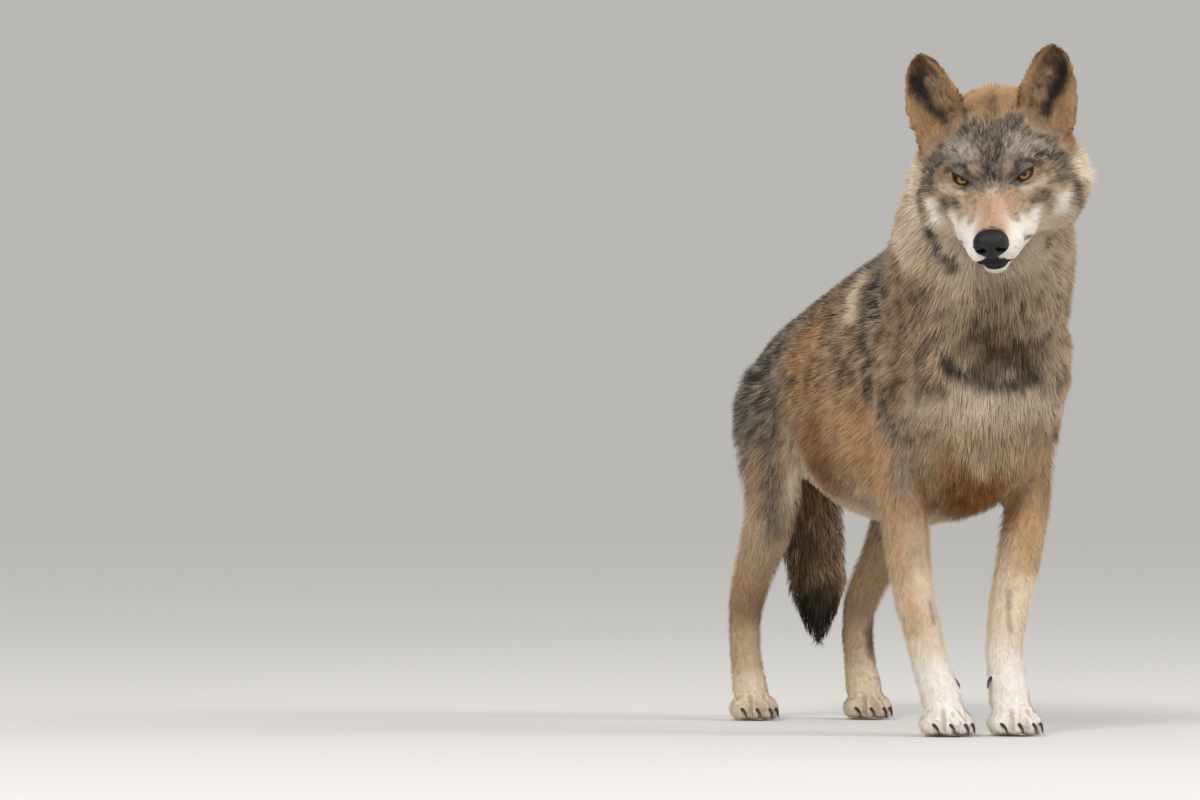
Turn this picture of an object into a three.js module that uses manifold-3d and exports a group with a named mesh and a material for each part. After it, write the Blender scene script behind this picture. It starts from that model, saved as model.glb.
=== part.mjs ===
// A grey wolf in winter coat, standing still on level ground with its head turned to its right.
// Every solid reaches out to the tips of the coat. Millimetres, +Z up; the wolf faces -Y and its
// right side is at -X. The head is one surface drawn over its blended masses, the rest is lofts
// and ellipsoids, and the named parts are divided by thin cuts.
import * as THREE from "three";
import { mergeVertices } from "three/addons/utils/BufferGeometryUtils.js";
import Module from "manifold-3d";

const wasm = await Module();
wasm.setup();

// ---------------------------------------------------------------- driving sizes

const GAP = 0.4; // between two parts that touch
const EYE_SPACING = 84; // centre to centre
const EYE_RADIUS = 12;
const HEAD_AT = [-98, -300, 730]; // the point midway between the eyes
const HEAD_TURN = 28; // degrees to the wolf's right
const HEAD_PITCH = 26; // degrees, nose down
const HEAD_ROLL = 4; // degrees, left side up
const HEAD_CUT = { through: [-42, -140, 690], leans: [-0.15, -0.62, 0.77] }; // behind the cheeks
const NECK_CUT = { through: [0, -40, 585], leans: [0, -0.74, 0.67] }; // before the shoulders
const PAWS = {
  fore: { right: [-50, -2], left: [43, -12], scale: 1 },
  hind: { right: [-84, 640], left: [80, 622], scale: 0.93 },
};
const WRIST_X = { right: -69, left: 38 };
const ELBOW_X = { right: -97, left: 89 };
const PAW_CUT = 58; // height of the cut between a leg and its paw
const CLAW_LENGTH = 17;

const COLOURS = {
  grey: 0x6f6456,
  tan: 0xa5845f,
  pale: 0xc9b79b,
  rufous: 0x8a5c38,
  horn: 0x1c1a18,
  noseLeather: 0x24211f,
  amber: 0xb5792a,
};

// ---------------------------------------------------------------- shaping tools

const X_AXIS = new THREE.Vector3(1, 0, 0);
const smoothCurve = (points) => new THREE.CatmullRomCurve3(points, false, "catmullrom", 0.5);

// Radius factor that closes the ends of a loft as domes; u runs from 0 to 1 along it.
function domed(u, [start, end]) {
  const near = Math.min(start > 0 ? u / start : 1, end > 0 ? (1 - u) / end : 1, 1);
  return Math.max(Math.sqrt(1 - (1 - near) ** 2), 0.16);
}

// A closed body whose section is an oval that follows a smooth path. Each row is
// [x, y, z, half width, reach up, reach down]. `across` holds the width's direction at both ends,
// `cup` bends the section's edges upwards, and `crowd` packs the rings towards the ends.
function loft(rows, options = {}, grow = 0) {
  const {
    across = [X_AXIS, X_AXIS],
    sides = 16,
    steps = 2 * rows.length,
    dome = [0.1, 0.1],
    cup = [0, 0],
    crowd = 0.03,
  } = options;
  const path = smoothCurve(rows.map(([x, y, z]) => new THREE.Vector3(x, y, z)));
  const sizes = smoothCurve(rows.map(([, , , wide, up, down]) => new THREE.Vector3(wide, up, down)));
  const body = new THREE.CylinderGeometry(1, 1, 1, sides, steps);
  const place = body.attributes.position;
  const side = new THREE.Vector3();
  const lift = new THREE.Vector3();
  for (let i = 0; i < place.count; i++) {
    const v = THREE.MathUtils.clamp(place.getY(i) + 0.5, 0, 1);
    const u = v - crowd * Math.sin(2 * Math.PI * v);
    const along = path.getTangent(u);
    const size = sizes.getPoint(u);
    const factor = domed(u, dome);
    side.lerpVectors(across[0], across[1], u);
    side.addScaledVector(along, -side.dot(along)).normalize();
    lift.crossVectors(side, along);
    const [c, s] = [place.getX(i), place.getZ(i)];
    const reach = s > 0 ? size.y : size.z;
    const wide = c * (size.x * factor + grow);
    const high = s * (reach * factor + grow);
    const bend = THREE.MathUtils.lerp(cup[0], cup[1], u) * ((wide / (size.x * factor)) ** 2 - 0.5);
    const at = path.getPoint(u).addScaledVector(along, v === 0 ? -grow : v === 1 ? grow : 0);
    at.addScaledVector(side, wide).addScaledVector(lift, high + bend);
    place.setXYZ(i, at.x, at.y, at.z);
  }
  return body;
}

const turnedBy = (degrees) =>
  new THREE.Matrix4().makeRotationFromEuler(new THREE.Euler(...degrees.map(THREE.MathUtils.degToRad)));

// An ellipsoid with its own radii, turned by Euler angles in degrees.
function ellipsoid([x, y, z], [rx, ry, rz], { turn = [0, 0, 0], sides = 12, grow = 0 } = {}) {
  const ball = new THREE.SphereGeometry(1, sides, Math.round(sides * 0.6));
  ball.scale(rx + grow, ry + grow, rz + grow).applyMatrix4(turnedBy(turn));
  return ball.translate(x, y, z);
}

// How far a point is outside a mass, roughly, in millimetres.
function outside(mass, point) {
  const local = point.clone().sub(mass.centre).applyMatrix4(mass.unturn);
  const scaled = local.clone().divide(mass.radii);
  const reach = scaled.length();
  return (reach * (reach - 1)) / Math.max(scaled.divide(mass.radii).length(), 1e-6);
}

// The same for all masses melted together over a distance of `melt`, then thinned by `shrink`.
function outsideAll(masses, { melt, shrink }, point) {
  const total = masses.reduce((sum, mass) => sum + Math.exp(-outside(mass, point) / melt), 0);
  return shrink - melt * Math.log(total);
}

// One closed surface over melted masses: rays leave an axis in rings, and fan out at its two ends.
function skinOver(masses, { axis, sides, steps, fan = 0.16, far = 260, ...blend }, grow = 0) {
  const path = smoothCurve(axis.map((p) => new THREE.Vector3(...p)));
  const body = new THREE.CylinderGeometry(1, 1, 1, sides, steps);
  const place = body.attributes.position;
  const lift = new THREE.Vector3();
  for (let i = 0; i < place.count; i++) {
    const v = place.getY(i) + 0.5;
    const u = THREE.MathUtils.clamp((v - fan) / (1 - 2 * fan), 0, 1);
    const along = path.getTangent(u);
    lift.crossVectors(X_AXIS, along).normalize();
    const overEnd = Math.max((fan - v) / fan, (v - 1 + fan) / fan, 0);
    const tilt = THREE.MathUtils.degToRad(84 * overEnd);
    const ray = new THREE.Vector3()
      .addScaledVector(X_AXIS, place.getX(i))
      .addScaledVector(lift, place.getZ(i));
    if (ray.length() > 0.5) ray.multiplyScalar(Math.cos(tilt));
    ray.addScaledVector(along, (v < 0.5 ? -1 : 1) * (ray.length() > 0 ? Math.sin(tilt) : 1)).normalize();
    const start = path.getPoint(u);
    let reach = far;
    for (let pass = 0; pass < 60; pass++) {
      const clear = outsideAll(masses, blend, start.clone().addScaledVector(ray, reach));
      if (clear < 0.02) break;
      reach -= clear * 0.8;
    }
    start.addScaledVector(ray, reach + grow);
    place.setXYZ(i, start.x, start.y, start.z);
  }
  return body;
}

function mirrored(geometry) {
  const other = geometry.clone().scale(-1, 1, 1);
  const order = other.index.array;
  for (let i = 0; i < order.length; i += 3) [order[i + 1], order[i + 2]] = [order[i + 2], order[i + 1]];
  return other;
}

function solid(geometry) {
  const bare = geometry.clone();
  bare.deleteAttribute("normal");
  bare.deleteAttribute("uv");
  const merged = mergeVertices(bare, 1e-3);
  return new wasm.Manifold(
    new wasm.Mesh({
      numProp: 3,
      vertProperties: new Float32Array(merged.attributes.position.array),
      triVerts: new Uint32Array(merged.index.array),
    }),
  );
}

const united = (geometries) => geometries.map(solid).reduce((whole, piece) => whole.add(piece));
const cutBack = (body, ...cutters) => cutters.reduce((rest, cutter) => rest.subtract(cutter), body);

// A huge block that fills the side of a plane to which `normal` points.
function block(through, normal, shift = 0) {
  const size = 4000;
  const n = new THREE.Vector3(...normal).normalize();
  const turn = new THREE.Quaternion().setFromUnitVectors(new THREE.Vector3(0, 0, 1), n);
  const box = new THREE.BoxGeometry(size, size, size).applyQuaternion(turn);
  const at = new THREE.Vector3(...through).addScaledVector(n, size / 2 + shift);
  return solid(box.translate(at.x, at.y, at.z));
}

// The two sides of a body cut by a plane, with the gap between them: [behind, in front].
function parted(body, through, normal) {
  const back = normal.map((n) => -n);
  return [body.subtract(block(through, normal, -GAP / 2)), body.subtract(block(through, back, -GAP / 2))];
}

// The largest body of a solid, without the slivers that a cut can leave.
function main(body) {
  return body.decompose().reduce((best, one) => (one.volume() > best.volume() ? one : best));
}

function mesh(name, body, colour, roughness = 0.9) {
  const { vertProperties, triVerts, numProp } = main(body).getMesh();
  const places = [];
  for (let i = 0; i < vertProperties.length; i += numProp) places.push(...vertProperties.slice(i, i + 3));
  const geometry = new THREE.BufferGeometry();
  geometry.setAttribute("position", new THREE.Float32BufferAttribute(places, 3));
  geometry.setIndex([...triVerts]);
  geometry.computeVertexNormals();
  const made = new THREE.Mesh(
    geometry,
    new THREE.MeshStandardMaterial({ color: colour, roughness, metalness: 0 }),
  );
  made.name = name;
  return made;
}

// ---------------------------------------------------------------- head
// Built facing -Y with its origin midway between the eyes, then turned and carried to HEAD_AT.

const radians = THREE.MathUtils.degToRad;
const headPlace = new THREE.Matrix4()
  .makeTranslation(...HEAD_AT)
  .multiply(new THREE.Matrix4().makeRotationZ(-radians(HEAD_TURN)))
  .multiply(new THREE.Matrix4().makeRotationY(-radians(HEAD_ROLL)))
  .multiply(new THREE.Matrix4().makeRotationX(radians(HEAD_PITCH)));
const onHead = (geometries) => geometries.map((g) => g.applyMatrix4(headPlace));

// Each mass: centre, radii and turn in degrees. A paired one is mirrored to the other side.
const HEAD_MASSES = {
  bridge: { at: [0, -62, -32], radii: [21, 62, 15], turn: [8, 0, 0] },
  noseEnd: { at: [0, -103, -50], radii: [24, 16, 27] },
  muzzleBase: { at: [0, -22, -42], radii: [40, 56, 36] },
  cranium: { at: [0, 62, 9], radii: [61, 74, 58] },
  forehead: { at: [0, 12, 10], radii: [44, 44, 24], turn: [26, 0, 0] },
  throat: { at: [0, 46, -66], radii: [64, 78, 42] },
  nape: { at: [0, 106, -4], radii: [90, 56, 93] },
};
const PAIRED_MASSES = {
  lip: { at: [15, -80, -59], radii: [25, 40, 22], turn: [3, 0, -8] },
  lipCorner: { at: [33, -30, -56], radii: [26, 50, 26], turn: [0, 0, -16] },
  brow: { at: [32, 0, 13], radii: [22, 20, 10], turn: [0, 16, 0] },
  temple: { at: [52, 40, 2], radii: [32, 42, 26], turn: [0, 24, 0] },
  cheekbone: { at: [52, 24, -28], radii: [36, 50, 28], turn: [0, 0, -20] },
  jawMuscle: { at: [52, 38, -60], radii: [36, 54, 34], turn: [0, 0, -20] },
  cheekFur: { at: [72, 48, -48], radii: [42, 40, 54], turn: [0, -12, 0] },
  ruff: { at: [82, 90, -36], radii: [44, 44, 64], turn: [0, -12, 0] },
  lowRuff: { at: [58, 84, -88], radii: [46, 46, 46], turn: [0, 20, 0] },
};
const HEAD_SKIN = {
  axis: [
    [0, -98, -46],
    [0, -40, -38],
    [0, 20, -24],
    [0, 90, -22],
  ],
  melt: 7,
  shrink: 3.5,
  sides: 22,
  steps: 23,
};

function massFrom({ at, radii, turn = [0, 0, 0] }, side = 1) {
  const [a, b, c] = turn;
  return {
    centre: new THREE.Vector3(side * at[0], at[1], at[2]),
    radii: new THREE.Vector3(...radii),
    unturn: turnedBy([a, side * b, side * c]).invert(),
  };
}

function skull() {
  const masses = [
    ...Object.values(HEAD_MASSES).map((mass) => massFrom(mass)),
    ...Object.values(PAIRED_MASSES).flatMap((mass) => [massFrom(mass), massFrom(mass, -1)]),
  ];
  return onHead([skinOver(masses, HEAD_SKIN)]);
}

const JAW_ROWS = [
  [0, -102, -82, 12, 8, 8],
  [0, -92, -82, 18, 12, 12],
  [0, -68, -83, 22, 16, 13],
  [0, -36, -85, 28, 20, 15],
  [0, 4, -89, 38, 24, 18],
  [0, 40, -93, 46, 26, 21],
];
const jaw = (grow = 0) => onHead([loft(JAW_ROWS, { sides: 10, steps: 7, dome: [0.14, 0.1] }, grow)]);

const noseLeather = (grow = 0) =>
  onHead([
    ellipsoid([0, -116, -41], [23, 15, 18.5], { turn: [14, 0, 0], sides: 11, grow }),
    ellipsoid([0, -116, -56], [6, 7, 12], { sides: 6, grow }),
  ]);

const EAR_ROWS = [
  [50, 84, -8, 30, 6, 7],
  [57, 83, 20, 45, 6, 7],
  [65, 84, 46, 46, 6, 7],
  [72, 88, 72, 42, 5, 6],
  [78, 92, 96, 35, 4, 5],
  [82, 95, 117, 27, 3.5, 4.5],
  [85, 97, 138, 19, 3, 3.5],
];
function ear(side, grow = 0) {
  const across = [new THREE.Vector3(0.74, 0.1, -0.67), new THREE.Vector3(0.93, 0.1, -0.36)];
  const shell = loft(EAR_ROWS, { across, sides: 12, steps: 10, cup: [34, 10], dome: [0.05, 0.18], crowd: 0.09 }, grow);
  return onHead([side > 0 ? shell : mirrored(shell)]);
}

const eyeAt = (side) => [side * (EYE_SPACING / 2 - 2), 4, -1];
const eyeball = (side, grow = 0) =>
  onHead([ellipsoid(eyeAt(side), Array(3).fill(EYE_RADIUS), { turn: [90, 0, 0], sides: 10, grow })]);

// The opening between the lids, rising a little towards the ear.
function eyeOpening(side) {
  const [x, y, z] = eyeAt(side);
  return onHead([ellipsoid([x + side * 2, y - 15, z], [14, 14, 6.5], { turn: [0, -side * 18, 0], sides: 10 })]);
}

// ---------------------------------------------------------------- neck, trunk and tail

const NECK_ROWS = [
  [-54, -250, 800, 44, 48, 54],
  [-55, -216, 770, 91, 80, 88],
  [-48, -156, 708, 117, 98, 118],
  [-26, -84, 650, 128, 106, 138],
  [-8, -10, 590, 133, 111, 146],
  [0, 62, 545, 114, 102, 126],
];
const neck = () => [loft(NECK_ROWS, { sides: 16, steps: 8 })];

const TRUNK_ROWS = [
  [-4, -118, 492, 62, 60, 86],
  [-3, -78, 502, 106, 112, 146],
  [0, -20, 506, 128, 162, 190],
  [0, 50, 500, 137, 193, 210],
  [0, 130, 490, 138, 190, 216],
  [0, 230, 481, 134, 179, 207],
  [0, 330, 474, 127, 163, 200],
  [0, 420, 468, 118, 146, 180],
  [0, 510, 462, 112, 128, 144],
  [0, 590, 456, 104, 112, 112],
  [0, 645, 450, 84, 88, 84],
  [0, 684, 444, 46, 50, 48],
];
const trunk = () => [loft(TRUNK_ROWS, { sides: 18, steps: 14, dome: [0.05, 0.05] })];

const TAIL_ROWS = [
  [0, 634, 535, 26, 26, 26],
  [2, 680, 518, 33, 33, 33],
  [10, 712, 465, 44, 43, 43],
  [22, 724, 390, 54, 52, 52],
  [32, 718, 300, 56, 53, 53],
  [38, 704, 215, 48, 46, 46],
  [38, 692, 148, 31, 30, 30],
  [36, 686, 104, 12, 12, 12],
];
const tail = (grow = 0) => [loft(TAIL_ROWS, { sides: 10, steps: 11, dome: [0.06, 0.06] }, grow)];

// ---------------------------------------------------------------- legs and paws
// A leg's path runs down, so its rows reach backwards and then forwards.

const sideOf = { right: -1, left: 1 };

function foreleg(side, grow = 0) {
  const s = sideOf[side];
  const [x, y] = PAWS.fore[side];
  const wristX = WRIST_X[side];
  const elbowX = ELBOW_X[side];
  const rows = [
    [s * 60, 30, 600, 30, 44, 40],
    [s * 76, 8, 550, 38, 64, 56],
    [elbowX - s * 4, 4, 470, 44, 70, 60],
    [elbowX, 28, 395, 41, 54, 47],
    [elbowX - s * 3, 34, 335, 40, 43, 40],
    [elbowX - s * 9, 28, 270, 36, 36, 35],
    [wristX + s * 18, y + 21, 205, 33, 32, 31],
    [wristX + s * 6, y + 13, 150, 30, 29, 29],
    [wristX, y + 9, 116, 29, 28, 28],
    [(wristX + x) / 2, y + 7, 80, 29, 25, 28],
    [x, y + 2, 48, 31, 26, 31],
    [x, y, 26, 30, 28, 33],
  ];
  return [loft(rows, { sides: 10, steps: 14, dome: [0.08, 0.03] }, grow)];
}

function hindleg(side, grow = 0) {
  const s = sideOf[side];
  const [x, y] = PAWS.hind[side];
  const rows = [
    [s * 56, 588, 516, 40, 56, 62],
    [s * 76, 572, 462, 52, 82, 86],
    [s * 88, 544, 400, 53, 88, 84],
    [s * 94, 522, 338, 47, 74, 64],
    [s * 92, y - 100, 284, 39, 54, 48],
    [s * 90, y - 52, 232, 35, 41, 40],
    [(s * 88 + x) / 2, y - 6, 188, 30, 36, 31],
    [x, y + 20, 150, 27, 30, 27],
    [x, y + 22, 112, 26, 24, 24],
    [x, y + 14, 76, 26, 23, 25],
    [x, y + 2, 46, 28, 24, 29],
    [x, y, 26, 28, 26, 30],
  ];
  return [loft(rows, { sides: 10, steps: 15, dome: [0.08, 0.03] }, grow)];
}

const LEGS = { fore: foreleg, hind: hindleg };
const TOES = [
  { x: -28, y: -20, long: 24, wide: 12.5, turn: 10 },
  { x: -10.5, y: -36, long: 26, wide: 12.5, turn: 3 },
  { x: 10.5, y: -36, long: 26, wide: 12.5, turn: -3 },
  { x: 28, y: -20, long: 24, wide: 12.5, turn: -10 },
];
const TOE_CENTRE_HEIGHT = 15;

function paw(limb, side) {
  const [x, y] = PAWS[limb][side];
  const k = PAWS[limb].scale;
  const toes = TOES.map((toe) =>
    ellipsoid([x + k * toe.x, y + k * toe.y, TOE_CENTRE_HEIGHT], [k * toe.wide, k * toe.long, 19], {
      turn: [16, 0, toe.turn],
      sides: 7,
    }),
  );
  const top = ellipsoid([x, y - 13 * k, 30 * k], [k * 33, k * 34, 24 * k], { turn: [24, 0, 0], sides: 8 });
  const heel = ellipsoid([x, y + 12 * k, 16], [k * 30, k * 26, 21], { sides: 6 });
  return [top, heel, ...toes];
}

// A claw leaves the front of its toe and curves down to just above the ground.
function claw(limb, side, toe, grow = 0) {
  const [x, y] = PAWS[limb][side];
  const k = PAWS[limb].scale;
  const [rootX, rootY] = [x + k * toe.x, y + k * (toe.y - toe.long + 7)];
  const aim = Math.sin(radians(toe.turn)) * CLAW_LENGTH;
  const rows = [
    [rootX, rootY, 17, 3.4, 3.6, 3.6],
    [rootX + aim * 0.45, rootY - 0.5 * CLAW_LENGTH, 15, 2.8, 3.2, 3.2],
    [rootX + aim * 0.8, rootY - 0.85 * CLAW_LENGTH, 9.5, 1.9, 2.1, 2.1],
    [rootX + aim, rootY - CLAW_LENGTH, 4, 0.9, 1, 1],
  ];
  return [loft(rows, { sides: 5, steps: 2, dome: [0, 0] }, grow)];
}

function dewclaw(side, grow = 0) {
  const s = sideOf[side];
  const [x, y] = PAWS.fore[side];
  const rootX = (x + WRIST_X[side]) / 2 - s * 26;
  const rows = [
    [rootX + s * 3, y + 2, 78, 3.4, 3.6, 3.6],
    [rootX - s * 3, y - 3, 74, 3, 3, 3],
    [rootX - s * 6, y - 6, 67, 2, 2, 2],
    [rootX - s * 6, y - 7, 62, 0.9, 1, 1],
  ];
  const forward = new THREE.Vector3(0, 1, 0);
  return [loft(rows, { sides: 5, steps: 2, dome: [0, 0], across: [forward, forward] }, grow)];
}

// ---------------------------------------------------------------- the named parts

const wolf = new THREE.Group();
const ground = block([0, 0, 0], [0, 0, -1]);
const sides = Object.keys(sideOf);
const grown = (part, ...which) => united(part(...which, GAP));

// Head, neck and trunk are one body, cut behind the cheeks and across the base of the neck.
const torso = united([...skull(), ...neck(), ...trunk()]);
const [behindHead, wholeHead] = parted(torso, HEAD_CUT.through, HEAD_CUT.leans);
const [wholeTrunk, wholeNeck] = parted(behindHead, NECK_CUT.through, NECK_CUT.leans);

const head = cutBack(
  wholeHead,
  grown(noseLeather),
  grown(jaw),
  ...sides.flatMap((side) => [grown(eyeball, sideOf[side]), united(eyeOpening(sideOf[side])), grown(ear, sideOf[side])]),
);
wolf.add(mesh("head", head, COLOURS.grey));
wolf.add(mesh("nose", united(noseLeather()), COLOURS.noseLeather, 0.45));
wolf.add(mesh("lower_jaw", united(jaw()), COLOURS.pale));
wolf.add(mesh("neck", cutBack(wholeNeck, ...sides.map((side) => grown(ear, sideOf[side]))), COLOURS.grey));
for (const side of sides) {
  wolf.add(mesh(`ear_${side}`, united(ear(sideOf[side])), COLOURS.tan));
  wolf.add(mesh(`eye_${side}`, united(eyeball(sideOf[side])), COLOURS.amber, 0.1));
}

for (const side of sides) {
  for (const [limb, leg] of Object.entries(LEGS)) {
    const claws = TOES.map((toe) => grown(claw, limb, side, toe));
    const dewclaws = limb === "fore" ? [grown(dewclaw, side)] : [];
    const whole = cutBack(united([...leg(side), ...paw(limb, side)]), ground, ...claws, ...dewclaws);
    const [foot, upper] = parted(whole, [0, 0, PAW_CUT], [0, 0, 1]);
    wolf.add(mesh(`${limb}leg_${side}`, upper, COLOURS.tan));
    wolf.add(mesh(`${limb}paw_${side}`, foot, COLOURS.pale));
    TOES.forEach((toe, i) => {
      wolf.add(mesh(`claw_${limb}_${side}_${i + 1}`, united(claw(limb, side, toe)), COLOURS.horn, 0.4));
    });
  }
  wolf.add(mesh(`dewclaw_${side}`, united(dewclaw(side)), COLOURS.horn, 0.4));
}

const legSpaces = sides.flatMap((side) => Object.values(LEGS).map((leg) => grown(leg, side)));
wolf.add(mesh("trunk", cutBack(wholeTrunk, grown(tail), ...legSpaces), COLOURS.grey));
wolf.add(mesh("tail", cutBack(united(tail()), ...legSpaces), COLOURS.rufous));

// The origin is on the ground, under the middle of the wolf's bounding box.
const box = new THREE.Box3().setFromObject(wolf);
const middle = box.getCenter(new THREE.Vector3());
wolf.position.set(-middle.x, -middle.y, 0);

export default wolf;
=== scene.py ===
"""A grey wolf in winter coat, life size, as a still museum model. Metres, in the frame's own axes."""
import math
import bmesh
import bpy
import numpy as np
import openvdb
from mathutils import Matrix, Vector
from mathutils.bvhtree import BVHTree


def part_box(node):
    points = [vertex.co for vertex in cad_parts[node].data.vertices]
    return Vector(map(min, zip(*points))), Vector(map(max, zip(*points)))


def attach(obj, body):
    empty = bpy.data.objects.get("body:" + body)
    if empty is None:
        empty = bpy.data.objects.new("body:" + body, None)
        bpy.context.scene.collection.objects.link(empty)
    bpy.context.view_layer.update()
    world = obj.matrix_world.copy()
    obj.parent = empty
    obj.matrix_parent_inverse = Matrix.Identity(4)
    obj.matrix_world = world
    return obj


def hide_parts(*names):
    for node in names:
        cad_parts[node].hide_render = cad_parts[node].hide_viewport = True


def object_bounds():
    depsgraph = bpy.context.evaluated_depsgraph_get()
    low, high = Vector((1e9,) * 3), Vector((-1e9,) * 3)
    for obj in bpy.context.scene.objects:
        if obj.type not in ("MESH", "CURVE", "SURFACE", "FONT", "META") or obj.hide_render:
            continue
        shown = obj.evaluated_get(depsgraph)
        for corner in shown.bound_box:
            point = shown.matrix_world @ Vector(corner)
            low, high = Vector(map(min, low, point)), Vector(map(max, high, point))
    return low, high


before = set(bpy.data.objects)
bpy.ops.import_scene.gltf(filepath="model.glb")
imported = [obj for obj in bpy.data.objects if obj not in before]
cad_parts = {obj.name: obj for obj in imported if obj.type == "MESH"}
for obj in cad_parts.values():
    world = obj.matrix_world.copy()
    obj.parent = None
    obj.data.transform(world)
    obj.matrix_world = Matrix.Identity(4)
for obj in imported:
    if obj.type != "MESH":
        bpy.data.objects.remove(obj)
cad_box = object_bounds()

# ---- Hide -------------------------------------------------------------------------------------
# One tanned hide without a seam over head, neck, trunk, legs and tail. The solids reach to the
# tips of the coat, so the hide is drawn inside them at the coat's depth, from 1.3 mm at the ear
# tips to 22 mm on the neck. Ears, eyelids, lips and toes are then worked into it.
MM = 0.001
SIDES = ("right", "left")
FLESH = ["head", "lower_jaw", "neck", "trunk", "tail"] + [
    f"{part}_{side}" for part in ("ear", "foreleg", "forepaw", "hindleg", "hindpaw") for side in SIDES]
FILL = ["nose", "eye_right", "eye_left"]

def centre(node):
    low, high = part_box(node)
    return np.array((low + high) / 2)

# The body's own frame starts on the ground between the shoulders, and the head's own just ahead of
# the point midway between the eyeballs, facing -Y with the nose level. Both are in millimetres,
# with the animal's left at +X. The forepaws, the left eyeball and the nose's drop place them.
PAW_X, PAW_Y = (-50 + 43) / 2, -18.5
EYEBALL = np.array([40.0, 4.0, -1.0])
NOSE_DROP = math.atan2(42.0, 120.0)
fore = (centre("forepaw_right") + centre("forepaw_left")) / 2
body_origin = np.array([fore[0] - PAW_X * MM, fore[1] - PAW_Y * MM, 0.0])
eyes = (centre("eye_left") + centre("eye_right")) / 2
across = centre("eye_left") - centre("eye_right")
across /= np.linalg.norm(across)
to_nose = centre("nose") - eyes
ahead = to_nose - across * (to_nose @ across)
ahead /= np.linalg.norm(ahead)
above = np.cross(across, -ahead)
head_axes = np.array([
    across,
    -(ahead * math.cos(NOSE_DROP) + above * math.sin(NOSE_DROP)),
    above * math.cos(NOSE_DROP) - ahead * math.sin(NOSE_DROP),
])
head_origin = eyes - EYEBALL * [0, 1, 1] * MM @ head_axes

def on_body(points):
    return np.asarray(points, float) * MM + body_origin

def on_head(points):
    return np.asarray(points, float) * MM @ head_axes + head_origin

def in_body(points):
    return (points - body_origin) / MM

def in_head(points):
    return (points - head_origin) @ head_axes.T / MM

def mirrored(at):
    """The points with those of the right side moved over to the left."""
    return np.abs(at[:, :1]) * [1, 0, 0] + at * [0, 1, 1]

def linear(*rgb):
    return [((c / 255 + 0.055) / 1.055) ** 2.4 for c in rgb]

HAIR = {
    "white": linear(250, 243, 234), "cream": linear(226, 207, 180), "buff": linear(192, 166, 133),
    "silver": linear(200, 188, 174), "tan": linear(168, 138, 106), "gold": linear(194, 155, 110),
    "ochre": linear(176, 134, 92), "cinnamon": linear(202, 166, 136), "rufous": linear(150, 106, 70),
    "russet": linear(144, 94, 48), "brown": linear(108, 85, 65), "grey": linear(136, 126, 115),
    "smoke": linear(98, 89, 81), "umber": linear(82, 60, 42), "black": linear(30, 27, 26),
}

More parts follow.
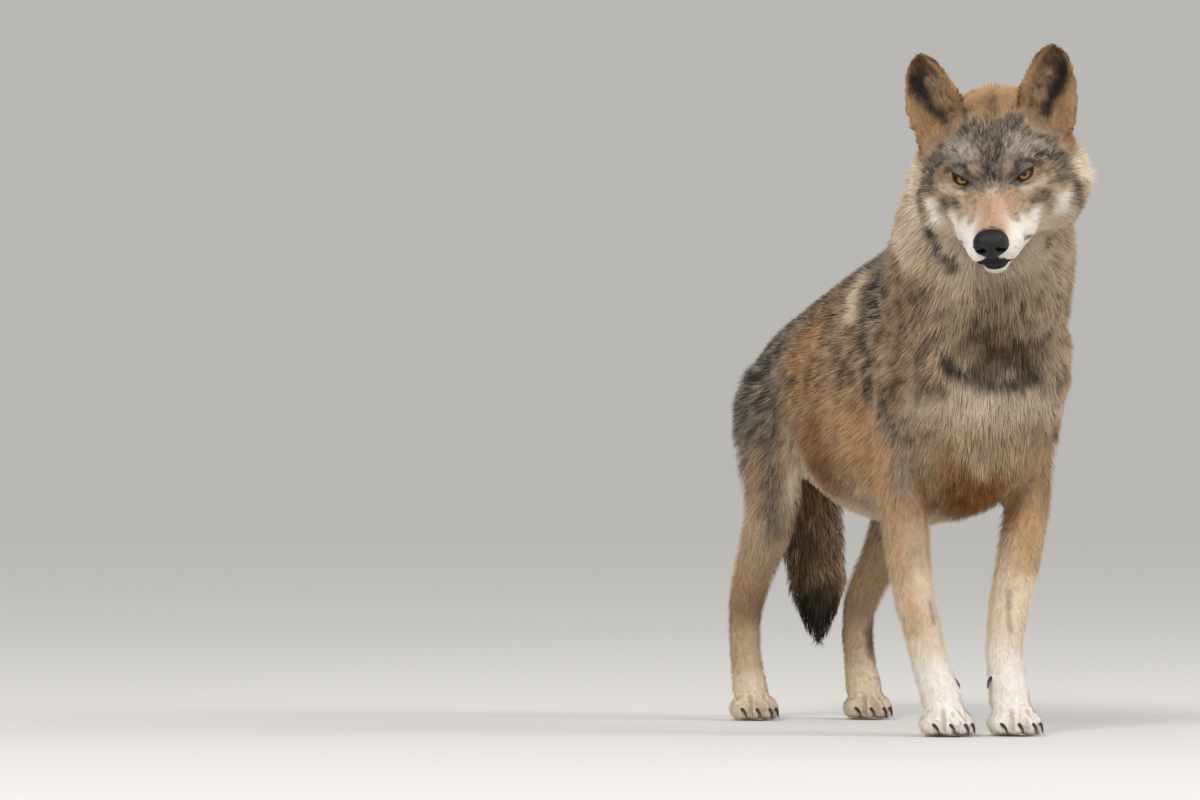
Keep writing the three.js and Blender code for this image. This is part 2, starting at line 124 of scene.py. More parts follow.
# Each station of the coat: where it is, the way the hair lies there, the coat's depth and the
# hair's length, all in millimetres, its colour, and its grizzle, which is how far the tips go to
# black. Stations with an x are repeated on the other side.
BODY_COAT = {
    "withers": ((0, 20, 690), (0, 1, -.1), 21.1, 35, "smoke", .8),
    "back": ((0, 200, 665), (0, 1, -.1), 18.5, 31, "smoke", .65),
    "loin": ((0, 380, 615), (0, 1, -.12), 17.6, 29, "smoke", .65),
    "croup": ((0, 560, 570), (0, .9, -.4), 16.6, 27, "smoke", .7),
    "shoulder_top": ((105, 40, 610), (.05, .85, -.5), 18.5, 31, "grey", .7),
    "shoulder": ((136, 0, 520), (0, .6, -.8), 15.8, 26, "tan", .5),
    "ribs": ((138, 150, 520), (0, .9, -.45), 16.6, 28, "tan", .55),
    "flank": ((126, 330, 500), (0, .9, -.45), 15.8, 27, "ochre", .5),
    "ribs_low": ((122, 150, 390), (0, .8, -.6), 15.8, 27, "gold", .25),
    # The low flank's rufous is partly the hair's own colour and partly painted shade of the body's
    # underside.
    "flank_low": ((105, 340, 360), (0, .75, -.65), 14.9, 28, "rufous", .3),
    "belly": ((0, 150, 278), (0, .95, -.3), 14.9, 27, "cream", .1),
    "belly_rear": ((0, 340, 285), (0, .95, -.3), 14.9, 27, "cream", .1),
    "groin": ((60, 470, 330), (0, .6, -.8), 11.2, 20, "cream", .1),
    "chest": ((0, -116, 480), (0, .1, -1), 19.4, 33, "cream", .25),
    "chest_low": ((0, -70, 370), (0, .4, -.9), 17.6, 29, "buff", .25),
    # The brisket's russet is partly the hair's own colour and partly painted shade between the forelegs.
    "brisket": ((0, 0, 300), (0, .8, -.6), 15.8, 27, "russet", .3),
    "upper_arm": ((132, -20, 430), (.05, .4, -.9), 11.2, 20, "tan", .45),
    "elbow": ((122, 50, 385), (0, .5, -.85), 11.2, 20, "gold", .2),
    "forearm_front": ((95, -18, 325), (0, .1, -1), 6, 12.5, "tan", .35),
    "forearm_back": ((90, 68, 325), (0, .3, -1), 9, 16, "gold", .15),
    "forearm": ((88, 20, 240), (0, .1, -1), 5, 11, "buff", .2),
    "forearm_low": ((74, 12, 185), (0, .05, -1), 4.8, 10, "cream", .15),
    "wrist": ((62, 8, 130), (0, 0, -1), 4.5, 9, "cream", .1),
    "pastern": ((48, 0, 75), (0, -.3, -.95), 4, 8, "white", .05),
    "paw": ((46, -30, 35), (0, -.85, -.5), 3.5, 7, "white", .03),
    "heel": ((46, 14, 16), (0, .1, -1), 3, 6, "cream", .03),
    "thigh_top": ((112, 560, 510), (0, .75, -.65), 15.8, 27, "smoke", .6),
    "thigh": ((138, 545, 410), (0, .45, -.9), 13.1, 23, "grey", .5),
    "thigh_rear": ((85, 640, 410), (0, .4, -.9), 13.9, 26, "rufous", .3),
    "inner_thigh": ((40, 560, 350), (0, .3, -1), 9.4, 16, "buff", .1),
    "knee": ((118, 480, 340), (0, .5, -.86), 10.3, 18, "tan", .3),
    "gaskin": ((95, 560, 240), (0, .35, -.93), 7, 13.5, "buff", .25),
    "gaskin_rear": ((90, 615, 235), (0, .3, -.95), 8, 15, "gold", .2),
    "hock": ((85, 660, 160), (0, .1, -1), 5, 11, "tan", .2),
    "shank": ((84, 652, 95), (0, -.1, -1), 4.5, 9, "buff", .15),
    "hind_paw": ((83, 612, 35), (0, -.85, -.5), 3.5, 7, "cream", .05),
    "hind_heel": ((83, 645, 16), (0, .1, -1), 3, 6, "cream", .03),
}
# The neck and tail bend, so these stations aren't repeated.
BENT_COAT = {
    "nape": ((-62, -185, 812), (.15, .75, -.6), 19.4, 34, "tan", .5),
    "crest": ((-40, -60, 735), (.15, .85, -.5), 22.1, 37, "smoke", .7),
    "neck_right": ((-155, -170, 690), (0, .6, -.8), 22.1, 36, "cream", .35),
    "neck_right_low": ((-145, -80, 600), (0, .6, -.8), 21.1, 36, "tan", .5),
    "neck_left": ((62, -120, 700), (.2, .6, -.8), 22.1, 36, "buff", .5),
    "neck_left_low": ((105, -50, 620), (.1, .6, -.8), 20.2, 35, "tan", .5),
    "throat": ((-75, -240, 640), (.1, .1, -1), 20.2, 33, "cream", .35),
    "throat_low": ((-40, -190, 560), (.05, .2, -1), 22.1, 36, "buff", .5),
    "bib": ((-10, -140, 500), (0, .05, -1), 21.1, 36, "tan", .5),
    "tail_base": ((2, 690, 525), (0, .8, -.6), 12.2, 28, "tan", .4),
    "tail_mid": ((20, 745, 400), (.1, .05, -1), 18.5, 37, "brown", .6),
    "tail_inner": ((24, 680, 380), (.1, -.1, -1), 17.6, 33.5, "rufous", .3),
    "tail_low": ((34, 715, 240), (.05, -.1, -1), 17.6, 36, "brown", .5),
    "tail_tip": ((38, 694, 130), (0, -.2, -1), 11.2, 29, "black", .2),
}
HEAD_COAT = {
    "nose_bridge": ((0, -90, -24), (0, 1, .25), 1.5, 5, "cinnamon", .05),
    "bridge": ((0, -50, -15), (0, 1, .3), 2, 6, "cinnamon", .1),
    "stop": ((0, -12, 4), (0, .8, .6), 3.5, 9, "grey", .6),
    "forehead": ((0, 20, 34), (0, .8, .6), 6, 13, "grey", .8),
    "brow": ((32, -10, 18), (.3, .45, .8), 3.5, 9, "grey", .5),
    "crown": ((0, 70, 66), (0, 1, .1), 10.3, 18, "gold", .1),
    "temple": ((58, 36, 22), (.45, .85, 0), 9, 15, "grey", .6),
    "muzzle": ((36, -72, -50), (.2, .95, -.05), 2, 6, "white", .02),
    "lip": ((20, -106, -64), (.45, .6, -.6), 1.8, 5, "white", .02),
    "lip_low": ((36, -78, -76), (.25, .8, -.5), 2.5, 6, "white", .02),
    "under_eye": ((44, -22, -18), (.45, .85, -.2), 2.5, 7, "buff", .35),
    "outer_eye": ((60, 8, 0), (.55, .8, 0), 4, 10, "tan", .5),
    "cheek": ((76, 16, -40), (.5, .75, -.35), 7, 14, "buff", .4),
    "cheek_fur": ((101, 34, -46), (.55, .65, -.45), 10, 19, "buff", .35),
    "cheek_fur_low": ((90, 26, -80), (.45, .5, -.7), 10, 19, "cream", .2),
    "forehead_high": ((32, 46, 54), (.1, .95, .2), 7, 13, "grey", .75),
    "temple_high": ((66, 50, 18), (.35, .9, .1), 9, 15, "grey", .65),
    "jaw": ((66, 10, -78), (.45, .65, -.6), 8, 16, "cream", .1),
    "ruff": ((118, 80, -30), (.6, .6, -.5), 17.6, 32, "cream", .22),
    "low_ruff": ((92, 80, -110), (.4, .4, -.8), 19.4, 34, "buff", .4),
    "cheek_low": ((84, 30, -92), (.45, .5, -.7), 9, 17, "cream", .12),
    "ring": ((116, 62, -56), (.6, .6, -.5), 14, 26, "tan", .5),
    "chin": ((0, -96, -94), (0, .9, -.4), 2.5, 8, "white", .02),
    "under_jaw": ((0, -40, -102), (0, .95, -.3), 6, 13, "cream", .1),
    "upper_throat": ((0, 40, -114), (0, .8, -.6), 13.1, 25, "cream", .3),
    "mane": ((0, 112, 84), (0, .9, -.2), 13.9, 27, "tan", .5),
    "eye": ((40, -9, 0), (.4, .7, .3), 2.2, 5, "grey", .3),
    "ear_foot": ((60, 72, 28), (.2, .3, .9), 5, 11, "tan", .3),
    "ear_back": ((72, 100, 40), (.1, .2, 1), 3, 10, "ochre", .3),
    "ear_back_inner": ((42, 98, 70), (0, .9, .1), 3, 7, "gold", .1),
    "ear": ((75, 92, 90), (.12, .1, 1), 1.6, 7, "tan", .1),
    "ear_tip": ((84, 97, 135), (.1, 0, 1), 1.3, 4.5, "ochre", .05),
    "ear_inner_edge": ((50, 88, 80), (0, 0, 1), 1.5, 6, "gold", .05),
    "ear_outer_edge": ((108, 90, 66), (.15, 0, 1), 1.6, 7, "gold", .1),
    "ear_cup": ((64, 85, 66), (.35, -.4, .9), 4.4, 19, "tan", .3),
    "ear_outer_foot": ((104, 82, 24), (.15, .1, 1), 3, 10, "ochre", .2),
}

def stations(table, place, turn, paired):
    rows = []
    for (x, y, z), (dx, dy, dz), depth, length, colour, grizzle in table.values():
        for side in ((1, -1) if paired and x else (1,)):
            way = turn(np.array([side * dx, dy, dz]))
            rows.append([*place([side * x, y, z]), *way / np.linalg.norm(way), depth, length,
                         *HAIR[colour], grizzle])
    return rows

coat_rows = np.array(
    stations(BODY_COAT, on_body, lambda v: v, True)
    + stations(BENT_COAT, on_body, lambda v: v, False)
    + stations(HEAD_COAT, on_head, lambda v: v @ head_axes, True))
NEAREST_MM, FALL, BATCH = 12.0, -2.2, 4000
coat_middles = (coat_rows[:, :3] ** 2).sum(1)[None, :]

def coat_at(points):
    """The hair's way, the coat's depth and the hair's length at each point, in metres, and a row of
    its colour and grizzle: the mean of the stations, by how near they are."""
    found = np.empty((len(points), 9), np.float32)
    for start in range(0, len(points), BATCH):
        part = points[start:start + BATCH]
        away = (part**2).sum(1)[:, None] + coat_middles - 2 * part @ coat_rows[:, :3].T
        weight = (away / MM**2 + NEAREST_MM**2) ** FALL
        found[start:start + BATCH] = weight @ coat_rows[:, 3:] / weight.sum(1)[:, None]
    way = found[:, :3] / np.linalg.norm(found[:, :3], axis=1)[:, None]
    return way, found[:, 3] * MM, found[:, 4] * MM, found[:, 5:]

# The solids' distance fields are joined on one grid of cells, the nose and eyeballs among them to
# fill their places. The common surface, a little swollen so that thin gaps close, is measured
# again and drawn in by the coat's depth.
VOXEL, MARGIN, BAND, REACH = 3.2 * MM, 5, 3, 16
CLOSING, EAR_SWELL = 0.8 * MM, 2.2 * MM
cad_low, cad_high = (np.array(corner) for corner in cad_box)
grid_low = cad_low - MARGIN * VOXEL
cells = np.ceil((cad_high - cad_low) / VOXEL).astype(int) + 2 * MARGIN
grid_place = openvdb.createLinearTransform(voxelSize=VOXEL)
grid_place.postTranslate(tuple(grid_low))

def distances(points, reach, **faces):
    """The distance field of a closed shape, out to a number of cells."""
    return openvdb.FloatGrid.createLevelSetFromPolygons(
        points, transform=grid_place, halfWidth=reach, **faces)

def surface(values):
    """The points and quads where the field is nought."""
    grid = openvdb.FloatGrid(BAND * VOXEL)
    grid.transform = grid_place
    grid.copyFromArray(values)
    grid.gridClass = openvdb.GridClass.LEVEL_SET
    points, _, quads = grid.convertToPolygons(isovalue=0.0, adaptivity=0.0)
    return points, quads

def rows_of(items, what, kind=np.float32, width=3):
    values = np.empty(len(items) * width, kind)
    items.foreach_get(what, values)
    return values.reshape(-1, width)

def solid(node):
    """A node's points and triangles."""
    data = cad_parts[node].data
    data.calc_loop_triangles()
    return rows_of(data.vertices, "co"), rows_of(data.loop_triangles, "vertices", np.int32)

joined = np.full(cells, BAND * VOXEL, np.float32)
for node in FLESH + FILL:
    points, triangles = solid(node)
    first = ((points.min(0) - grid_low) / VOXEL).astype(int) - BAND
    last = ((points.max(0) - grid_low) / VOXEL).astype(int) + BAND + 2
    values = np.empty(last - first, np.float32)
    distances(points, BAND, triangles=triangles.astype(np.uint32)).copyToArray(
        values, ijk=tuple(int(c) for c in first))
    part = joined[tuple(slice(a, b) for a, b in zip(first, last))]
    np.minimum(part, values - (EAR_SWELL if node.startswith("ear") else 0.0), out=part)
points, quads = surface(joined - CLOSING)
depth_field = np.empty(cells, np.float32)
distances(points, REACH, quads=quads).copyToArray(depth_field)
depth_field += CLOSING

def stretched(coarse, step):
    """Coarse values read at every cell, linearly."""
    for axis, count in enumerate(cells):
        at = np.arange(count, dtype=np.float32) / step
        near = np.minimum(at.astype(int), coarse.shape[axis] - 2)
        part = (at - near).reshape([-1 if a == axis else 1 for a in range(3)])
        slope = np.diff(coarse, axis=axis)
        coarse = np.take(coarse, near, axis)
        coarse += np.take(slope, near, axis) * part
    return coarse

# The coat's depth changes slowly, so it is worked out at every fifth cell, and only up to just
# outside the solids.
STEP, OUTSIDE = 5, 20 * MM
coarse_count = (cells - 1) // STEP + 2
lattice = np.stack(np.meshgrid(*[np.arange(n) * STEP for n in coarse_count], indexing="ij"), -1)
lattice = lattice.reshape(-1, 3)
wanted = depth_field[tuple(np.minimum(lattice, cells - 1).T)] < OUTSIDE
coarse_depth = np.full(len(lattice), OUTSIDE, np.float32)
coarse_depth[wanted] = coat_at(lattice[wanted] * VOXEL + grid_low)[1]
depth_field += stretched(coarse_depth.reshape(coarse_count), STEP)
points, quads = surface(depth_field)
quads = quads[:, ::-1].astype(np.int32)

# Loose crumbs left in deep coat are dropped, and the grid's steps are smoothed away, most where
# the coat over them is deep.
def edges_of(faces):
    pairs = np.stack([faces, np.roll(faces, -1, axis=1)], -1).reshape(-1, 2)
    pairs.sort(axis=1)
    return np.unique(pairs, axis=0)

def in_one_piece(points, edges):
    """Which points hang together with the topmost one."""
    reached = np.zeros(len(points), bool)
    reached[np.argmax(points[:, 2])] = True
    while True:
        touched = reached[edges]
        grown = edges[touched[:, 0] != touched[:, 1]]
        if not len(grown):
            return reached
        reached[grown] = True

STEP_IN, STEP_OUT = 0.5, -0.52

def smoothed(points, edges, weight, passes):
    """Taubin smoothing: a step in and a slightly longer step out, so that limbs keep their girth."""
    count = np.bincount(edges.ravel(), minlength=len(points))[:, None]
    first, second = edges.T
    for turn in range(2 * passes):
        total = np.stack([np.bincount(first, points[second, k], len(points))
                          + np.bincount(second, points[first, k], len(points)) for k in range(3)], 1)
        step = STEP_OUT if turn % 2 else STEP_IN
        points = points + (total / count - points) * (step * weight)[:, None]
    return points

FACE_PASSES, BODY_PASSES = 8, 34
keep = in_one_piece(points, edges_of(quads))
number = np.cumsum(keep) - 1
quads = number[quads[keep[quads[:, 0]]]]
points = points[keep].astype(float)
edges = edges_of(quads)
depth = coat_at(points)[1]
points = smoothed(points, edges, np.interp(depth, [1.5 * MM, 5 * MM], [0.6, 1.0]), FACE_PASSES)
points = smoothed(points, edges, np.interp(depth, [8 * MM, 14 * MM], [0.0, 1.0]), BODY_PASSES)

def placed(name, data):
    """A new object of the scene, at the origin."""
    made = bpy.data.objects.new(name, data)
    bpy.context.scene.collection.objects.link(made)
    return made

def mesh_from(name, points, faces):
    data = bpy.data.meshes.new(name)
    data.vertices.add(len(points))
    data.vertices.foreach_set("co", np.asarray(points, np.float32).ravel())
    data.loops.add(faces.size)
    data.loops.foreach_set("vertex_index", faces.astype(np.int32).ravel())
    data.polygons.add(len(faces))
    data.polygons.foreach_set("loop_start", np.arange(0, faces.size, faces.shape[1], dtype=np.int32))
    data.update(calc_edges=True)
    return placed(name, data)

# The body needs fewer faces than the head does: it is thinned, the paws a little, and the face is
# cut finer, most around the eyes, nose and lips.
LEVELS, KEPT = 8, 0.27
FACE_END, THIN_OVER = 45, 30
PAW_TOP, PAW_THINNING = 70 * MM, 0.25
skin = mesh_from("skin", points, quads)
thinning = np.clip((in_head(points)[:, 1] - FACE_END) / THIN_OVER, 0, 1)
thinning[points[:, 2] < PAW_TOP] = PAW_THINNING
thinned = skin.vertex_groups.new(name="thinned")
for level in range(1, LEVELS + 1):
    rows = np.nonzero(np.ceil(thinning * LEVELS) == level)[0]
    if len(rows):
        thinned.add(rows.tolist(), level / LEVELS, "REPLACE")
fewer = skin.modifiers.new("fewer", "DECIMATE")
fewer.ratio = KEPT
fewer.vertex_group = "thinned"
data = bpy.data.meshes.new_from_object(skin.evaluated_get(bpy.context.evaluated_depsgraph_get()))
skin.modifiers.clear()
skin.data = data
skin.vertex_groups.clear()

def places(data):
    return rows_of(data.vertices, "co").astype(float)

def cut_finer(data, chosen):
    """Cuts the faces whose corners are all chosen, by a test on the head's own coordinates."""
    mesh = bmesh.new()
    mesh.from_mesh(data)
    inside = chosen(in_head(places(data)))
    mesh.verts.ensure_lookup_table()
    cut = [e for e in mesh.edges if inside[e.verts[0].index] and inside[e.verts[1].index]]
    bmesh.ops.subdivide_edges(mesh, edges=cut, cuts=1, use_grid_fill=True, smooth=0.0)
    bmesh.ops.triangulate(mesh, faces=[f for f in mesh.faces if len(f.verts) > 4])
    mesh.to_mesh(data)
    mesh.free()

EYE_FRONT, EYE_REACH = np.array([41.0, -8.0, 0.0]), 23

def around_eye(at):
    return np.linalg.norm(mirrored(at) - EYE_FRONT, axis=1) < EYE_REACH

cut_finer(data, lambda at: (at[:, 1] < 12) & (at[:, 2] > -125) & (np.abs(at[:, 0]) < 75))
cut_finer(data, lambda at: around_eye(at) | ((at[:, 1] < -88) & (np.abs(at[:, 0]) < 34)))
at = in_head(places(data))

def smooth_step(low, high, values):
    t = np.clip((values - low) / (high - low), 0, 1)
    return t * t * (3 - 2 * t)

def ridge(away, height, middle, width):
    """A round-topped swelling, or a groove where the height is below nought."""
    return height * np.exp(-((away - middle) / width) ** 2)

# The ears are too thin for the grid, so their hide is laid back onto the ears' own faces. In front
# it is hollowed by half the ear's thickness beyond the rim's, which leaves a rim around the cup.
EAR_SKIN, EAR_HOLLOW, EAR_RIM, EAR_NEAR = 1.0, 0.5, 4.0, 12
EAR_FOOT, EAR_FREE = 24, 44
above_crown = smooth_step(EAR_FOOT, EAR_FREE, at[:, 2])
for side, sign in zip(SIDES, (-1, 1)):
    ear_points, ear_faces = solid(f"ear_{side}")
    ear_tree = BVHTree.FromPolygons([Vector(v) for v in in_head(ear_points)], ear_faces.tolist())
    held = above_crown * smooth_step(40, 50, sign * at[:, 0])
    for row in np.nonzero(held > 0)[0]:
        spot, normal, _, away = ear_tree.find_nearest(Vector(at[row]))
        if away < EAR_NEAR:
            deep = EAR_SKIN
            if normal.y < -0.3:
                _, _, _, thick = ear_tree.ray_cast(spot - normal * 0.5, -normal)
                deep += EAR_HOLLOW * max((thick or 0.0) - EAR_RIM, 0.0)
            laid = np.array(spot - normal * deep)
            at[row] += (laid - at[row]) * held[row]
edges = rows_of(data.edges, "vertices", np.int32, 2)
above_crown = smooth_step(EAR_FOOT, EAR_FREE, at[:, 2])
at = smoothed(at, edges, above_crown * smooth_step(36, 46, np.abs(at[:, 0])), 5)

# Lids: an almond between two arcs, whose rim lies on the eyeball. Inside the almond the hide goes
# behind the ball, and around it it rises to the brow and cheek. In the eye's own frame x is
# outwards, y up and z forwards.
EYE_RADIUS = 12.0
EYE_HALF_WIDTH, LID_UP, LID_DOWN = 11.4, 2.1, 4.3
EYE_SLANT = math.radians(27)
EYE_LOOK = np.array([0.27, -0.88, 0.40])
EYE_LOOK /= np.linalg.norm(EYE_LOOK)
level_out = np.cross([0, 0, 1.0], EYE_LOOK)
level_out /= np.linalg.norm(level_out)
level_up = np.cross(EYE_LOOK, level_out)
EYE_OUT = math.cos(EYE_SLANT) * level_out + math.sin(EYE_SLANT) * level_up
EYE_UP = math.cos(EYE_SLANT) * level_up - math.sin(EYE_SLANT) * level_out

def lid_distance(x, y):
    """How far a point is outside the eye's opening, with the way to its nearest edge."""
    best = None
    for rise, way in ((LID_UP, 1), (LID_DOWN, -1)):
        radius = (EYE_HALF_WIDTH**2 + rise**2) / (2 * rise)
        drop = y + way * (radius - rise)
        length = np.hypot(x, drop)
        row = (length - radius, x / length, drop / length)
        best = row if best is None else [
            np.where(row[0] > best[0], new, old) for new, old in zip(row, best)]
    return best

def eye_frame(at):
    """The places in the eye's own frame."""
    from_ball = mirrored(at) - EYEBALL
    return from_ball @ EYE_OUT, from_ball @ EYE_UP, from_ball @ EYE_LOOK

# How thick the lid lies on the ball at each distance from the opening, with a fold above it. Past
# the ball's shoulder, 0.92 of its radius out and 0.39 up, the hide leaves it in a straight slope.
# Points near the opening's edge are snapped to it, and the hide is held to the lid's shape near it.
LID_AWAY, LID_THICK = [0, 0.6, 1.6, 3.2, 5.0, 9.0], [0.3, 0.8, 1.1, 1.5, 1.2, 2.6]
LID_FOLD = (0.9, 7.0, 2.0)
BEHIND, SHOULDER, SHOULDER_UP, SLOPE = 1.6, 0.92, 0.39, 0.6
SNAP, HELD, LOOSE = 0.5, 4.0, 17.0
x, y, z = eye_frame(at)
lid, out_x, out_y = lid_distance(x, y)
near = (z > -6) & (np.hypot(x, y) < 34)
snapped = near & (np.abs(lid) < SNAP)
x, y = np.where(snapped, x - lid * out_x, x), np.where(snapped, y - lid * out_y, y)
lid = np.where(snapped, 0.0, lid)
spread = np.hypot(x, y)
thick = np.interp(lid, LID_AWAY, LID_THICK)
thick += ridge(lid, *LID_FOLD) * (y > 0)
radius = np.where(lid < -0.01, EYE_RADIUS - BEHIND, EYE_RADIUS + thick)
lid_z = np.sqrt(np.maximum(radius**2 - spread**2, 1.0))
past = spread - radius * SHOULDER
lid_z = np.where(past > 0, np.maximum(lid_z, radius * SHOULDER_UP - past * SLOPE), lid_z)
held = np.where(near, 1 - smooth_step(HELD, LOOSE, lid), 0.0)
z = z + (lid_z - z) * held
signs = np.where(at[:, :1] < 0, -1.0, 1.0) * [1, 0, 0] + [0, 1, 1]
eyed = (EYEBALL + x[:, None] * EYE_OUT + y[:, None] * EYE_UP + z[:, None] * EYE_LOOK) * signs
at = np.where(near[:, None], eyed, at)

def line_distance(at, line, normals=None):
    """The distance to a line of straight stretches, and the nearest point on it. With the normals,
    the distance is read mostly along the surface."""
    line = np.array(line, float)
    best, spot = np.full(len(at), 1e9), np.zeros((len(at), 3))
    for start, end in list(zip(line[:-1], line[1:])) or [(line[0], line[0])]:
        along = end - start
        t = np.clip((at - start) @ along / max(along @ along, 1e-9), 0, 1)
        nearest = start + t[:, None] * along
        gap = at - nearest
        if normals is not None:
            gap -= 0.75 * normals * (gap * normals).sum(1)[:, None]
        away = np.linalg.norm(gap, axis=1)
        spot = np.where((away < best)[:, None], nearest, spot)
        best = np.minimum(away, best)
    return best, spot

def lay(data, at):
    """Puts the hide's points at these places on the head's own axes."""
    data.vertices.foreach_set("co", on_head(at).astype(np.float32).ravel())
    data.update()

def normals_of(data):
    return rows_of(data.vertices, "normal").astype(float)

# The mouth: a groove along the line where the lips meet, with the upper lip hung over it. Smaller
# grooves are the one down the middle of the upper lip, the tear line from the eye's inner corner,
# and those between the toes, which run back from between the claws. Each ridge or groove has its
# height, its distance from the line and its width.
LIP_LINE, UPPER_LIP, LOWER_LIP = (-2.6, 0, 1.5), (1.1, 4.0, 2.6), (-0.8, 3.5, 2.5)
LIP_CLEFT, TEAR_GROOVE, TOE_GROOVE = (-1.6, 0, 1.3), (-1.0, 0, 2.6), (-3.4, 0, 3.0)
MOUTH = [(0, -112, -72), (8, -110, -72.5), (15, -104, -73.5), (20, -92, -75), (22, -80, -76),
         (24.5, -62, -76), (27, -50, -76), (29, -40, -76), (31, -30, -76.5), (34, -20, -78)]
MOUTH_END = -22
TEAR_LINE = [(30, -17, -6), (27, -26, -14), (25, -36, -22)]
PAW_HEIGHT = 62
toe_gaps = []
for paw in ("fore_right", "fore_left", "hind_right", "hind_left"):
    row = [in_body(centre(f"claw_{paw}_{k}")) for k in (1, 2, 3, 4)]
    paw_middle = sum(row) / 4
    for first, second in zip(row[:-1], row[1:]):
        gap = (first + second) / 2
        inward = np.array([(paw_middle[0] - gap[0]) * 0.35, 0, 0])
        toe_gaps.append(np.array([
            gap + [0, 8, -4], gap + [0, 10, 12] + inward * 0.3, gap + [0, 20, 24] + inward]))

lay(data, at)
normals = normals_of(data) @ head_axes.T
sheet = mirrored(at)
mouth_away, mouth_spot = line_distance(sheet, MOUTH)
above_line = sheet[:, 2] - mouth_spot[:, 2]
push = ridge(mouth_away, *LIP_LINE)
push += ridge(mouth_away, *UPPER_LIP) * (above_line > 0)
push += ridge(mouth_away, *LOWER_LIP) * (above_line < 0)
push[sheet[:, 1] > MOUTH_END] = 0.0
under_nose = (at[:, 1] < -104) & (at[:, 2] < -48) & (at[:, 2] > -70)
push += ridge(sheet[:, 0], *LIP_CLEFT) * under_nose
push += ridge(line_distance(sheet, TEAR_LINE)[0], *TEAR_GROOVE)
here = in_body(on_head(at))
on_paw = here[:, 2] < PAW_HEIGHT
paw_normals = (normals @ head_axes)[on_paw]
toe_away = np.min([line_distance(here[on_paw], gap, paw_normals)[0] for gap in toe_gaps], axis=0)
push[on_paw] += ridge(toe_away, *TOE_GROOVE)
at += normals * push[:, None]

# The hide under the nose's pad is drawn back, clear of the nostrils.
NOSE_MIDDLE, NOSE_RADII = np.array([0, -115.2, -41.0]), np.array([23.0, 15.0, 18.5])
UNDER_PAD = -104.0

def in_pad(at, swell):
    return (((at - NOSE_MIDDLE) / (NOSE_RADII * swell)) ** 2).sum(1) < 1

under_pad = in_pad(at, [0.93, 1.3, 0.88])
at[under_pad, 1] = np.maximum(at[under_pad, 1], UNDER_PAD)
lay(data, at)
data.shade_smooth()

# Markings: one pattern, read by the hide and by every tuft. The stations give the ground colour,
# and marks lie over it in this order: each is a line or a spot with its reach, colour, strength and
# grizzle. Marks in the head's own frame are the same on both sides, and one that ends in 1 faces
# front and leaves the ear's back alone. A body mark that ends in 1 is repeated on the left.
HEAD_MARKS = [
    ([(0, 70, 74), (0, 42, 62), (0, -1, 39), (0, -19, 18)], 11, "umber", .4, .75, 0),
    ([(36, 18, 39), (61, 42, 27)], 17, "silver", .7, .6, 0),
    ([(26, -2, 30)], 8, "silver", .5, .5, 0),
    ([(48, 64, 46), (72, 69, 26), (97, 63, 2)], 6, "buff", .55, .2, 0),
    ([(0, 108, 82), (26, 110, 79), (50, 108, 72)], 13, "gold", .85, .15, 0),
    ([(62, 26, 20), (78, 32, 6), (86, 22, -16)], 10, "smoke", .7, .75, 0),
    ([(34, -9, 23), (48, 2, 21), (62, 7, 12)], 3.4, "black", .75, .3, 0),
    ([(24, -14, 23), (16, -20, 16)], 6, "buff", .8, .15, 0),
    ([(0, -23, 11), (10, -20, 10)], 9, "smoke", .6, .6, 0),
    ([(44, -16, -8), (68, -1, -7)], 6.5, "cream", .6, .25, 0),
    ([(68, -9, -26), (52, -23, -24)], 7.5, "smoke", .6, .7, 0),
    ([(22, -32, -10), (29, -62, -28)], 9, "cinnamon", .85, .45, 0),
    ([(0, -34, -3)], 10, "cream", .6, .45, 0),
    ([(0, -58, -12), (0, -100, -22)], 11, "cinnamon", .6, .45, 0),
    ([(58, -26, -43), (51, -48, -58), (38, -76, -60), (26, -100, -60)], 11, "white", .85, .3, 0),
    ([(81, 12, -68), (76, 18, -86), (72, 28, -103), (60, 34, -120), (40, 38, -132)], 17,
     "cream", .85, .2, 0),
    ([(90, 12, -42), (84, 9, -60)], 13, "white", .97, .03, 0),
    ([(89, 48, 3), (102, 38, -19), (110, 38, -46), (107, 44, -80), (92, 44, -112), (68, 45, -136)], 12,
     "smoke", .75, .8, 0),
    ([(119, 68, -16), (123, 80, -60), (119, 92, -112)], 14, "cream", .75, .15, 0),
    ([(43, -74, -57), (47, -58, -62), (47, -40, -71)], 2.6, "smoke", .7, .3, 0),
    ([(88, 95, 122), (92, 93, 106), (90, 92, 90)], 20, "umber", .9, .5, 1),
    ([(84, 94, 114), (73, 93, 104)], 7, "umber", .6, .4, 1),
    ([(95, 93, 106), (90, 92, 86), (80, 91, 68), (70, 88, 52), (61, 80, 43)], 7.5, "black", .95, .1, 1),
    ([(75, 94, 97), (65, 89, 86), (56, 85, 70), (58, 84, 52)], 7, "tan", .85, .75, 1),
    ([(107, 85, 72), (104, 82, 56), (92, 84, 42), (100, 76, 20)], 9, "gold", .75, .35, 1),
    ([(85, 93, 140), (90, 91, 137), (106, 90, 115), (111, 86, 89), (109, 82, 62)], 4, "gold", .95, .05, 0),
    ([(85, 93, 140), (79, 94, 131), (62, 86, 110), (52, 80, 99), (43, 73, 92)], 4, "gold", .95, .05, 0),
    # Painted shade: this thin umber stroke lies in the fold at the ear's inner base, as its crease's
    # shade.
    ([(38, 72, 90), (35, 67, 76), (40, 66, 62)], 3, "umber", .7, .5, 0),
]
